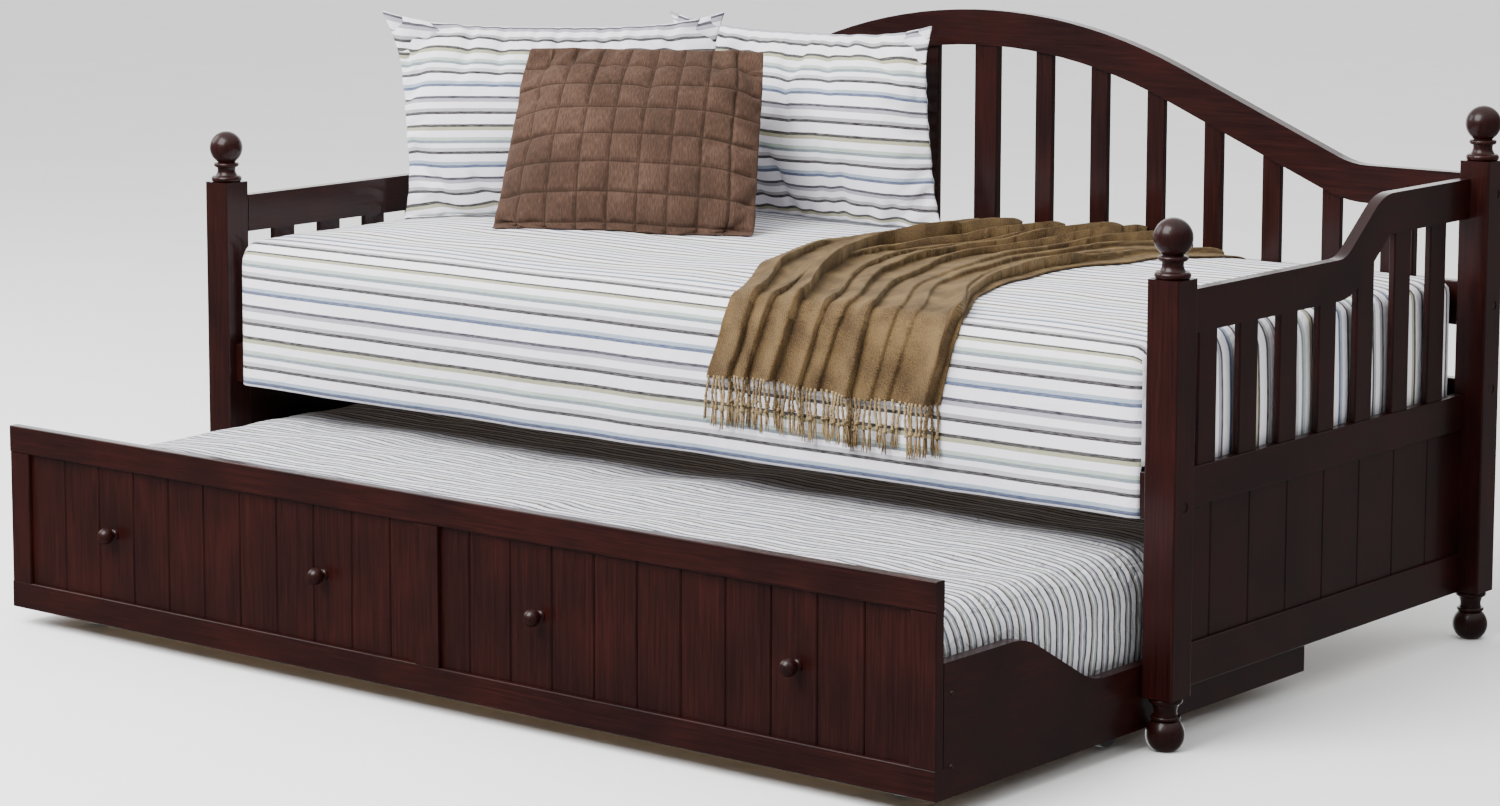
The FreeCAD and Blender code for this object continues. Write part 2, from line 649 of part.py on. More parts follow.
def side_outline():
    """A trundle side: high behind the front panel, then an ogee down to a low rail."""
    high, low = "side_high_top", "side_low_top"
    crown_y = "side_ramp_y + side_arc_run"
    foot_y = f"{crown_y} + side_ramp_run"
    return [
        ("trundle_inner_y", "trundle_bottom"), ("trundle_rear", "trundle_bottom"), ("trundle_rear", low),
        (f"{foot_y} + side_arc_run", low, "side_ramp_radius", "right"),
        (foot_y, f"{low} + side_ramp_radius * side_drop"),
        (crown_y, f"{high} - side_ramp_radius * side_drop", "side_ramp_radius", "left"),
        ("side_ramp_y", high), ("trundle_inner_y", high),
    ]


BEARERS = {"front": "trundle_front + castor_set", "middle": "trundle_front + trundle_depth / 2",
           "rear": "trundle_rear - castor_set"}


def trundle_box():
    """The trundle's sides, rear rail, bearers and deck slats."""
    for side, sign in SIDES.items():
        body = new_body("trundle_side")
        pad(body, "YZ_Plane", side_outline(), "trundle_frame")
        place(body, "side_inner" if sign > 0 else "-trundle_half", 0, 0)
        node(body, f"trundle_side_{side}")
    rear = bar("rear", ("-side_inner", "trundle_rear - trundle_frame", "trundle_bottom"),
               ("side_inner", "trundle_rear", "side_low_top"), "x")
    node(rear, "trundle_rear_rail")
    for name, middle in BEARERS.items():
        bearer = bar("bearer", ("-side_inner", f"{middle} - bearer_width / 2", "bearer_bottom"),
                     ("side_inner", f"{middle} + bearer_width / 2", "deck_bottom"), "x")
        node(bearer, f"trundle_bearer_{name}")
    slats = []
    pitch = "(2 * side_inner - 2 * trundle_slat_width) / (trundle_slat_count - 1)"
    for index in range(SIZES["trundle_slat_count"]):
        centre = f"-side_inner + trundle_slat_width + {pitch} * {index}"
        slats.append(box((f"{centre} - trundle_slat_width / 2", "trundle_inner_y + 8", "deck_bottom"),
                         (f"{centre} + trundle_slat_width / 2", "trundle_rear - trundle_frame - 2",
                          "deck_top")))
    node(group(slats), "trundle_deck_slats")


def knob(name, x):
    """A turned knob that stands out of the panel towards -Y."""
    ball = "knob_reach - knob_radius"
    ball_low = f"{ball} - sqrt(knob_radius ^ 2 - knob_neck_radius ^ 2)"
    steps = [
        (0, 0), ("knob_base_radius", 0), ("knob_base_radius", 2, "5", "right"), ("knob_neck_radius", "5"),
        ("knob_neck_radius", ball_low, "knob_radius", "left"), (0, "knob_reach"),
    ]
    body = turned("knob", steps, role="XY_Plane")
    height = "(trundle_bottom + trundle_top) / 2"
    place(body, x, "trundle_front + trundle_recess", height, angle=180)
    node(body, name)


# ---------------------------------------------------------------- castors

def castor_places():
    """Every castor, as (name, X, Y): the middle pair stands closest to the sides."""
    for side, sign in SIDES.items():
        for name, y in BEARERS.items():
            inset = "castor_mid_inset" if name == "middle" else "castor_end_inset"
            yield f"{name}_{side}", f"{sign} * (side_inner - ({inset}))", y


def castor_wheel(name, x, y):
    half = "wheel_width / 2"
    rim = "wheel_radius - wheel_round"
    steps = [
        (f"-{half}", "bore_radius"), (half, "bore_radius"), (half, rim, "wheel_round", "left"),
        (f"{half} - wheel_round", "wheel_radius"),
        (f"wheel_round - {half}", "wheel_radius", "wheel_round", "left"), (f"-{half}", rim),
    ]
    body = turned("wheel", steps, role="XY_Plane", axis="H_Axis")
    node(place(body, x, y, "wheel_radius"), f"castor_wheel_{name}")


def castor_forks():
    """Pressed forks under the bearers, each with its riveted axle."""
    forks = []
    for _, x, y in castor_places():
        inner = "wheel_width / 2 + fork_gap"
        outer = f"{inner} + fork_wall"
        plate = box((f"{x} - ({outer})", f"{y} - fork_width / 2", "bearer_bottom - fork_wall"),
                    (f"{x} + {outer}", f"{y} + fork_width / 2", "bearer_bottom"))
        pieces = [plate]
        for near, far in ((f"-({outer})", f"-({inner})"), (inner, outer)):
            pieces.append(box((f"{x} + {near}", f"{y} - fork_width / 4", "wheel_radius - 8"),
                              (f"{x} + {far}", f"{y} + fork_width / 4", "bearer_bottom - fork_wall / 2")))
        pieces.append(cylinder("axle_radius", f"2 * ({outer})", f"{x} - ({outer})", y, "wheel_radius",
                               TOWARDS_X, 90))
        forks.append(join(pieces))
    node(group(forks), "castor_forks")


# ---------------------------------------------------------------- bedding

def mattresses():
    """The two mattresses and the fitted cover over the upper one."""
    upper = bar("mattress", ("-(cover_half - cover_thickness)", "mattress_front", "slat_top"),
                ("cover_half - cover_thickness", "cover_back - cover_thickness", "mattress_top_z"),
                "x", "mattress_ease")
    node(upper, "mattress_top")
    shell = box(("-cover_half", "cover_front", "cover_hem"), ("cover_half", "cover_back", "cover_top"))
    hollow = box(("-(cover_half - cover_thickness + 0.5)", "cover_front + cover_thickness", "cover_hem - 1"),
                 ("cover_half - cover_thickness + 0.5", "cover_back - cover_thickness + 0.5",
                  "mattress_top_z + 2"))
    rail_notch = box(("-cover_half - 1", "cover_front + cover_thickness", "cover_hem - 1"),
                     ("cover_half + 1", "mattress_front", "rail_bottom + front_rail_width + 3"))
    # Behind the front skirt the cover ends under the mattress's edge, where it is tucked in.
    tuck = box(("-cover_half - 1", "cover_front + cover_thickness", "cover_hem - 1"),
               ("cover_half + 1", "cover_back + 1", "slat_top"))
    node(cut(shell, [hollow, rail_notch, tuck]), "bed_cover")
    lower = bar("mattress", ("-(side_inner - trundle_mattress_gap)", "trundle_inner_y + 8", "deck_top"),
                ("side_inner - trundle_mattress_gap", "trundle_rear - trundle_frame - 6",
                 "deck_top + trundle_mattress_height"), "x", "mattress_ease")
    node(lower, "mattress_trundle")


def pillow(name, width, height, thickness, x, y, turn, lean):
    """A pillow that stands on the cover: thickest in the middle and thin at its edge."""
    halves = []
    for sign in (-1, 1):
        half = doc.addObject("Part::Wedge", "pillow_half")
        for prop, text in {"Xmin": f"-({width}) / 2", "Xmax": f"({width}) / 2",
                           "Zmin": 0, "Zmax": height, "Ymin": 0, "Ymax": f"({thickness}) / 2",
                           "X2min": f"-({width}) / 4", "X2max": f"({width}) / 4",
                           "Z2min": f"({height}) / 4", "Z2max": f"({height}) * 3 / 4"}.items():
            bind(half, prop, text)
        if sign < 0:
            half.Placement = FreeCAD.Placement(Vector(), FreeCAD.Rotation(Vector(0, 0, 1), 180))
        halves.append(half)
    piece = join(halves)
    rotation = FreeCAD.Rotation(Vector(0, 0, 1), turn).multiply(FreeCAD.Rotation(Vector(1, 0, 0), -lean))
    place(piece, x, y, "cover_top + 5")
    piece.Placement.Rotation = rotation
    node(piece, name)


def throw():
    """A blanket laid in loose folds over the cover, which hangs down the front."""
    face = "cover_front - throw_thickness - 1"
    edge = "cover_front - 1"
    drop = box(("throw_left", face, "throw_hem"), ("throw_right", edge, "cover_top + 1 + throw_bulk"))
    spread = new_body("throw_spread")
    plan = [("throw_corner", edge), ("throw_right - 2", edge), ("throw_waist", 50),
            ("throw_tail_right", "throw_back"), ("throw_tail_left", "throw_back"), ("throw_tail_left", -107)]
    pad(spread, "XY_Plane", plan, "throw_bulk")
    place(spread, 0, 0, "cover_top + 1")
    node(join([drop, spread]), "throw_blanket")


# ---------------------------------------------------------------- assembly

for end_name in ENDS:
    for side_name in SIDES:
        post(side_name, end_name)
        finial(side_name, end_name)
frame_bolts()
for side_name in SIDES:
    arm(side_name)
back()
bed_base()
trundle_front()
trundle_box()
for number_of, place_x in enumerate(("-knob_outer", "-knob_inner", "knob_inner", "knob_outer"), start=1):
    knob(f"knob_{number_of}", place_x)
for castor_name, castor_x, castor_y in castor_places():
    castor_wheel(castor_name, castor_x, castor_y)
castor_forks()
mattresses()
pillow("pillow_left", "pillow_width", "pillow_height", "pillow_thickness", "left_pillow_x", "left_pillow_y",
       turn=37.5, lean=10)
pillow("pillow_right", "pillow_width - 20", "pillow_height", "pillow_thickness - 5", "right_pillow_x",
       "right_pillow_y", turn=0, lean=6)
pillow("quilted_cushion", "cushion_width", "cushion_height", "cushion_thickness", "cushion_x", "cushion_y",
       turn=27, lean=34)
throw()

doc.recompute()
for item in doc.Objects:
    if "Invalid" in item.State or "Error" in item.State:
        raise RuntimeError(f"{item.Label} failed: {item.State}")
for name, item in nodes.items():
    if item.Shape.isNull() or not item.Shape.isValid() or not item.Shape.Solids:
        raise RuntimeError(f"{name} has no valid solid")

os.makedirs("parts", exist_ok=True)
for name, item in nodes.items():
    item.Shape.exportStep(f"parts/{name}.step")
print(f"{len(nodes)} sub-parts written")
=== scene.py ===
"""Looks for the trundle daybed: lacquered frame, striped bedding, throw, trundle and studio.

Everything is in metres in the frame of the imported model: +X along the bed, -Y towards its
open front and +Z up from the floor.
"""
import logging
import math
import random
from dataclasses import dataclass
from enum import Enum
from typing import Any, Callable, Optional, Sequence

import bpy
import numpy as np
from mathutils import Euler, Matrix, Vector


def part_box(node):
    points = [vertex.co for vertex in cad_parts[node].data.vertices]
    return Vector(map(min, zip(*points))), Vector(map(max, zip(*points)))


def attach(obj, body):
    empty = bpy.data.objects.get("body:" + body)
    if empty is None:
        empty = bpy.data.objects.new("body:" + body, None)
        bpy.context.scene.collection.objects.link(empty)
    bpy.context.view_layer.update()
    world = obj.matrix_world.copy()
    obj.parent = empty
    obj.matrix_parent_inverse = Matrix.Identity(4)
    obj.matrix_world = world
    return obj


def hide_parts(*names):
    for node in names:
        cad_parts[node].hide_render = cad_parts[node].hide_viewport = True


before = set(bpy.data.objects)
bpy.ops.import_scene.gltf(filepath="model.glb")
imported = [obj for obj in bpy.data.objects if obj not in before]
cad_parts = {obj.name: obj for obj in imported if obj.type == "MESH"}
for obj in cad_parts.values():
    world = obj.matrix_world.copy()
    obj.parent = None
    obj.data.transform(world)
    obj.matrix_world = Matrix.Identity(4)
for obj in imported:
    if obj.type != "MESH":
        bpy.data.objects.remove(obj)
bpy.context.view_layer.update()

log = logging.getLogger("daybed")
Colour = tuple[float, float, float, float]
Points = np.ndarray


# ------------------------------------------------------------------ colour and nodes

def linear(code: str) -> Colour:
    """Turns an sRGB hex colour into linear light.

    Args:
        code: the colour as "#rrggbb".

    Returns:
        Linear red, green, blue and an alpha of one.
    """
    values = [int(code[i:i + 2], 16) / 255 for i in (1, 3, 5)]
    red, green, blue = [v / 12.92 if v <= 0.04045 else ((v + 0.055) / 1.055) ** 2.4 for v in values]
    return red, green, blue, 1.0


def band_scale(spacing_mm: float, diagonal: bool = False) -> float:
    """Works out a band texture's scale, on coordinates in metres.

    Args:
        spacing_mm: how far apart its bands are.
        diagonal: whether they run diagonally across two axes.

    Returns:
        The texture's Scale.
    """
    # Straight bands turn by 20 radians a unit, and diagonal ones by 10 along each axis.
    turn = 10 * math.sqrt(2) if diagonal else 20
    return 2 * math.pi / turn * 1000 / spacing_mm


def add_node(tree: bpy.types.NodeTree, kind: str, inputs: Optional[dict] = None,
             **settings: Any) -> bpy.types.Node:
    """Adds one shader node with its settings and links.

    Args:
        tree: the node tree it goes into.
        kind: the node's Blender type.
        inputs: socket name or index, to a value or to another node's output socket.
        settings: the node's own properties.

    Returns:
        The new node.
    """
    item = tree.nodes.new(kind)
    for name, value in settings.items():
        setattr(item, name, value)
    feed(tree, item, inputs or {})
    return item


def feed(tree: bpy.types.NodeTree, item: bpy.types.Node, inputs: dict) -> None:
    """Sets or links a node's input sockets.

    Args:
        tree: the node's tree.
        item: the node.
        inputs: socket name or index, to a value or to another node's output socket.
    """
    for key, value in inputs.items():
        if isinstance(value, bpy.types.NodeSocket):
            tree.links.new(value, item.inputs[key])
        else:
            item.inputs[key].default_value = value


def set_stops(ramp: bpy.types.Node, stops: Sequence[tuple[float, str]]) -> None:
    """Gives a colour ramp its stops.

    Args:
        ramp: the colour ramp node.
        stops: each stop's place from 0 to 1 and its sRGB hex colour, in order.
    """
    elements = ramp.color_ramp.elements
    while len(elements) > 1:
        elements.remove(elements[-1])
    elements[0].position, elements[0].color = stops[0][0], linear(stops[0][1])
    for place, code in stops[1:]:
        elements.new(place).color = linear(code)


# ------------------------------------------------------------------ finishes

@dataclass(frozen=True)
class Finish:
    """A finish that is made into a material once and then shared."""

    name: str

    def material(self) -> bpy.types.Material:
        """Returns the finish's material.

        Returns:
            The shared material, made the first time it is asked for.
        """
        found = bpy.data.materials.get(self.name)
        if found:
            return found
        made = bpy.data.materials.new(self.name)
        made.use_nodes = True
        tree = made.node_tree
        tree.nodes.clear()
        shader = add_node(tree, "ShaderNodeBsdfPrincipled")
        add_node(tree, "ShaderNodeOutputMaterial", {"Surface": shader.outputs["BSDF"]})
        self.dress(tree, shader)
        return made

    def dress(self, tree: bpy.types.NodeTree, shader: bpy.types.Node) -> None:
        """Links the finish's own nodes to the shader."""
        raise NotImplementedError


class Grain(Enum):
    """The way that a wooden part's grain runs."""

    ALONG_X = 0
    ALONG_Y = 1
    ALONG_Z = 2


@dataclass(frozen=True)
class EspressoLacquer(Finish):
    """Poplar stained espresso under satin lacquer.

    The stain is nearly black with a red cast where it thins, and the lacquer film gives a soft
    clear highlight over it.

    Attributes:
        grain: the way that the grain runs.
        grain_width_mm: how wide a streak of grain is.
        grain_length_mm: how long it is.
    """

    grain: Grain = Grain.ALONG_X
    grain_width_mm: float = 3.0
    grain_length_mm: float = 110.0

    def dress(self, tree: bpy.types.NodeTree, shader: bpy.types.Node) -> None:
        """Streaks the stain along the grain and lays the lacquer over it.

        Args:
            tree: the material's node tree.
            shader: its main shader.
        """
        scale = [1000 / self.grain_width_mm] * 3
        scale[self.grain.value] = 1000 / self.grain_length_mm
        place = add_node(tree, "ShaderNodeTexCoord")
        turned = add_node(tree, "ShaderNodeMapping", {"Vector": place.outputs["Object"], "Scale": scale})
        streaks = add_node(tree, "ShaderNodeTexNoise", {"Vector": turned.outputs["Vector"], "Scale": 1.0,
                                                        "Detail": 5.0, "Roughness": 0.62,
                                                        "Distortion": 0.6})
        cloud = add_node(tree, "ShaderNodeTexNoise", {"Vector": place.outputs["Object"], "Scale": 7.0,
                                                      "Detail": 2.0})
        soft = add_node(tree, "ShaderNodeMath", {0: cloud.outputs["Fac"], 1: 0.35}, operation="MULTIPLY")
        sharp = add_node(tree, "ShaderNodeMath", {0: streaks.outputs["Fac"], 1: 0.65}, operation="MULTIPLY")
        both = add_node(tree, "ShaderNodeMath", {0: soft.outputs["Value"], 1: sharp.outputs["Value"]},
                        operation="ADD")
        stain = add_node(tree, "ShaderNodeValToRGB", {"Fac": both.outputs["Value"]})
        set_stops(stain, [(0.36, "#150505"), (0.5, "#1f0907"), (0.64, "#2b0c08")])
        feed(tree, shader, {"Base Color": stain.outputs["Color"]})
        rough = add_node(tree, "ShaderNodeMapRange", {"Value": streaks.outputs["Fac"], "From Min": 0.3,
                                                      "From Max": 0.7, "To Min": 0.3, "To Max": 0.42})
        feed(tree, shader, {"Roughness": rough.outputs["Result"]})
        # Open pores show faintly through the film.
        bump = add_node(tree, "ShaderNodeBump", {"Strength": 0.25, "Distance": 0.0004,
                                                 "Height": streaks.outputs["Fac"]})
        feed(tree, shader, {"Normal": bump.outputs["Normal"], "IOR": 1.5})
        # The film is thin and rubbed down, so it mirrors less than a thick gloss would.
        feed(tree, shader, {"Specular IOR Level": 0.16, "Coat Weight": 0.16, "Coat Roughness": 0.12,
                            "Coat IOR": 1.5})


@dataclass(frozen=True)
class PlanedPine(Finish):
    """Planed pine, unfinished: pale earlywood with darker growth bands and a dry surface.

    Attributes:
        grain: the way that the grain runs.
        ring_width_mm: how wide a growth band is.
        ring_length_mm: how far it runs along the board before it changes.
    """

    grain: Grain = Grain.ALONG_Y
    ring_width_mm: float = 9.0
    ring_length_mm: float = 454.5

    def dress(self, tree: bpy.types.NodeTree, shader: bpy.types.Node) -> None:
        """Draws the growth bands along the board.

        Args:
            tree: the material's node tree.
            shader: its main shader.
        """
        scale = [1000 / self.ring_width_mm] * 3
        scale[self.grain.value] = 1000 / self.ring_length_mm
        place = add_node(tree, "ShaderNodeTexCoord")
        turned = add_node(tree, "ShaderNodeMapping", {"Vector": place.outputs["Object"], "Scale": scale})
        bands = add_node(tree, "ShaderNodeTexNoise", {"Vector": turned.outputs["Vector"], "Scale": 1.0,
                                                      "Detail": 4.0, "Distortion": 1.2})
        pine = add_node(tree, "ShaderNodeValToRGB", {"Fac": bands.outputs["Fac"]})
        set_stops(pine, [(0.36, "#b88f5f"), (0.5, "#d3ae7c"), (0.66, "#e2c79a")])
        feed(tree, shader, {"Base Color": pine.outputs["Color"]})
        bump = add_node(tree, "ShaderNodeBump", {"Strength": 0.3, "Distance": 0.0005,
                                                 "Height": bands.outputs["Fac"]})
        feed(tree, shader, {"Normal": bump.outputs["Normal"], "Roughness": 0.62, "IOR": 1.5})


@dataclass(frozen=True)
class PlatedSteel(Finish):
    """Plated steel: dull metal with fine handling marks.

    Attributes:
        deep: its colour where the plating is thin.
        light: its colour elsewhere.
    """

    deep: str = "#7e7e80"
    light: str = "#9a9a9c"

    def dress(self, tree: bpy.types.NodeTree, shader: bpy.types.Node) -> None:
        """Mottles the plating.

        Args:
            tree: the material's node tree.
            shader: its main shader.
        """
        place = add_node(tree, "ShaderNodeTexCoord")
        marks = add_node(tree, "ShaderNodeTexNoise", {"Vector": place.outputs["Object"], "Scale": 260.0,
                                                      "Detail": 3.0})
        rough = add_node(tree, "ShaderNodeMapRange", {"Value": marks.outputs["Fac"], "To Min": 0.3,
                                                      "To Max": 0.5})
        feed(tree, shader, {"Roughness": rough.outputs["Result"]})
        plating = add_node(tree, "ShaderNodeValToRGB", {"Fac": marks.outputs["Fac"]})
        set_stops(plating, [(0.3, self.deep), (0.7, self.light)])
        feed(tree, shader, {"Base Color": plating.outputs["Color"], "Metallic": 1.0})


@dataclass(frozen=True)
class MouldedNylon(Finish):
    """Black moulded nylon of a castor wheel: matt, with a fine tool texture."""

    def dress(self, tree: bpy.types.NodeTree, shader: bpy.types.Node) -> None:
        """Adds the mould's fine texture and floor dust.

        Args:
            tree: the material's node tree.
            shader: its main shader.
        """
        place = add_node(tree, "ShaderNodeTexCoord")
        dust = add_node(tree, "ShaderNodeTexNoise", {"Vector": place.outputs["Object"], "Scale": 90.0})
        tone = add_node(tree, "ShaderNodeValToRGB", {"Fac": dust.outputs["Fac"]})
        set_stops(tone, [(0.4, "#151515"), (0.7, "#262524")])
        feed(tree, shader, {"Base Color": tone.outputs["Color"]})
        fine = add_node(tree, "ShaderNodeTexNoise", {"Vector": place.outputs["Object"], "Scale": 900.0})
        bump = add_node(tree, "ShaderNodeBump", {"Strength": 0.2, "Distance": 0.0003,
                                                 "Height": fine.outputs["Fac"]})
        feed(tree, shader, {"Normal": bump.outputs["Normal"], "Roughness": 0.5, "IOR": 1.53})


@dataclass(frozen=True)
class Stripe:
    """One woven stripe: a dark line and the paler line beside it.

    Attributes:
        centre_mm: the dark line's middle, from the start of the repeat.
        dark: the dark line's colour.
        pale: the companion's colour.
        pale_first: whether the companion comes before the dark line.
    """

    centre_mm: float
    dark: str
    pale: str
    pale_first: bool = False


BED_STRIPES = (
    Stripe(13, "#211d1c", "#b3b1b5"), Stripe(35, "#6f7d84", "#a6b5ab"),
    Stripe(68, "#211e17", "#9b9a7c", True), Stripe(94, "#1f1b1a", "#9d9b9d"),
    Stripe(126, "#2f2e3a", "#9a98a2", True), Stripe(151, "#43506f", "#92a1b0"),
)
TRUNDLE_STRIPES = (
    Stripe(7.5, "#161518", "#8f8d93"), Stripe(23, "#26262d", "#8a8e98", True),
    Stripe(38.5, "#1b1917", "#8c8b82"), Stripe(54, "#3b4048", "#959b9d", True),
)


@dataclass(frozen=True)
class StripedCotton(Finish):
    """Yarn-dyed cotton percale: matt off-white ground, fine stripes and soft ironed creases.

    Attributes:
        stripes: the stripes of one repeat.
        repeat_mm: the length of the repeat.
        dark_mm: the width of a dark line.
        pale_mm: the width of the paler line beside it.
        ground: the colour between the stripes.
        thread_mm: the spacing of the threads.
        crease: how strong the creases are.
        wander_mm: how far the stripes wander on crumpled cloth.
        wander_scale: how often they wander, in waves per metre.
        start_mm: where the first repeat starts.
        crease_scale: how close together the creases are, in waves per metre.
    """

    stripes: tuple[Stripe, ...] = BED_STRIPES
    repeat_mm: float = 166.0
    dark_mm: float = 5.4
    pale_mm: float = 7.0
    ground: str = "#eceaf1"
    # The real threads are 0.3 mm apart: they are drawn this coarse to show at all.
    thread_mm: float = 2.762
    crease: float = 1.0
    wander_mm: float = 2.0
    wander_scale: float = 5.0
    start_mm: float = 74.0
    crease_scale: float = 11.0

    def stops(self) -> list[tuple[float, str]]:
        """Works out the colour ramp over one repeat of the stripes.

        Returns:
            Each stop's place from 0 to 1 and its colour.
        """
        made = [(0.0, self.ground)]
        for stripe in self.stripes:
            start = stripe.centre_mm - self.dark_mm / 2
            bands = [(start, stripe.dark), (start + self.dark_mm, stripe.pale),
                     (start + self.dark_mm + self.pale_mm, self.ground)]
            if stripe.pale_first:
                bands = [(start - self.pale_mm, stripe.pale), (start, stripe.dark),
                         (start + self.dark_mm, self.ground)]
            made += [(place / self.repeat_mm, code) for place, code in bands]
        return made

    def dress(self, tree: bpy.types.NodeTree, shader: bpy.types.Node) -> None:
        """Draws the stripes across the cloth, with its weave and creases.

        Args:
            tree: the material's node tree.
            shader: its main shader.
        """
        place = add_node(tree, "ShaderNodeTexCoord")
        wobble = add_node(tree, "ShaderNodeTexNoise", {"Vector": place.outputs["UV"],
                                                       "Scale": self.wander_scale, "Detail": 3.0})
        parts = add_node(tree, "ShaderNodeSeparateXYZ", {"Vector": place.outputs["UV"]})
        drift = add_node(tree, "ShaderNodeMath", {0: wobble.outputs["Fac"], 1: self.wander_mm / 1000,
                                                  2: self.start_mm / 1000}, operation="MULTIPLY_ADD")
        across = add_node(tree, "ShaderNodeMath", {0: parts.outputs["Y"], 1: drift.outputs["Value"]},
                          operation="ADD")
        turns = add_node(tree, "ShaderNodeMath", {0: across.outputs["Value"], 1: 1000 / self.repeat_mm},
                         operation="MULTIPLY")
        phase = add_node(tree, "ShaderNodeMath", {0: turns.outputs["Value"]}, operation="FRACT")
        colours = add_node(tree, "ShaderNodeValToRGB", {"Fac": phase.outputs["Value"]})
        colours.color_ramp.interpolation = "CONSTANT"
        set_stops(colours, self.stops())
        # Yarns of slightly uneven depth keep the stripes from looking printed.
        fleck = add_node(tree, "ShaderNodeMapping", {"Vector": place.outputs["UV"], "Scale": (60, 700, 1)})
        uneven = add_node(tree, "ShaderNodeTexNoise", {"Vector": fleck.outputs["Vector"], "Scale": 1.0,
                                                       "Detail": 2.0})
        amount = add_node(tree, "ShaderNodeMapRange", {"Value": uneven.outputs["Fac"], "From Min": 0.35,
                                                       "From Max": 0.75, "To Min": 0.0, "To Max": 0.16})
        yarn = add_node(tree, "ShaderNodeMix", {"Factor": amount.outputs["Result"],
                                                "A": colours.outputs["Color"], "B": linear(self.ground)},
                        data_type="RGBA")
        feed(tree, shader, {"Base Color": yarn.outputs["Result"]})
        scale = band_scale(self.thread_mm)
        warp = add_node(tree, "ShaderNodeTexWave", {"Vector": place.outputs["UV"], "Scale": scale},
                        wave_type="BANDS", bands_direction="X")
        weft = add_node(tree, "ShaderNodeTexWave", {"Vector": place.outputs["UV"], "Scale": scale},
                        wave_type="BANDS", bands_direction="Y")
        weave = add_node(tree, "ShaderNodeMath", {0: warp.outputs["Fac"], 1: weft.outputs["Fac"]},
                         operation="ADD")
        threads = add_node(tree, "ShaderNodeBump", {"Strength": 0.15, "Distance": 0.0003,
                                                    "Height": weave.outputs["Value"]})
        soft = add_node(tree, "ShaderNodeTexNoise", {"Vector": place.outputs["UV"],
                                                     "Scale": self.crease_scale, "Detail": 5.0,
                                                     "Roughness": 0.55, "Distortion": 1.1})
        creases = add_node(tree, "ShaderNodeBump", {"Strength": 0.5 * self.crease, "Distance": 0.012,
                                                    "Height": soft.outputs["Fac"],
                                                    "Normal": threads.outputs["Normal"]})
        feed(tree, shader, {"Normal": creases.outputs["Normal"], "Roughness": 0.9, "IOR": 1.46,
                            "Specular IOR Level": 0.25, "Sheen Weight": 0.12, "Sheen Roughness": 0.5})


@dataclass(frozen=True)
class MattressTicking(Finish):
    """Woven polyester ticking: off-white with a faint diagonal stitch."""

    def dress(self, tree: bpy.types.NodeTree, shader: bpy.types.Node) -> None:
        """Draws the stitch as a shallow bump.

        Args:
            tree: the material's node tree.
            shader: its main shader.
        """
        place = add_node(tree, "ShaderNodeTexCoord")
        tone = add_node(tree, "ShaderNodeTexNoise", {"Vector": place.outputs["Object"], "Scale": 40.0})
        ramp = add_node(tree, "ShaderNodeValToRGB", {"Fac": tone.outputs["Fac"]})
        set_stops(ramp, [(0.3, "#d9d6d0"), (0.7, "#e6e3de")])
        feed(tree, shader, {"Base Color": ramp.outputs["Color"]})
        one = add_node(tree, "ShaderNodeTexWave", {"Vector": place.outputs["Object"], "Scale": 5.0},
                       wave_type="BANDS", bands_direction="DIAGONAL")
        bump = add_node(tree, "ShaderNodeBump", {"Strength": 0.4, "Distance": 0.004,
                                                 "Height": one.outputs["Fac"]})
        feed(tree, shader, {"Normal": bump.outputs["Normal"], "Roughness": 0.88})


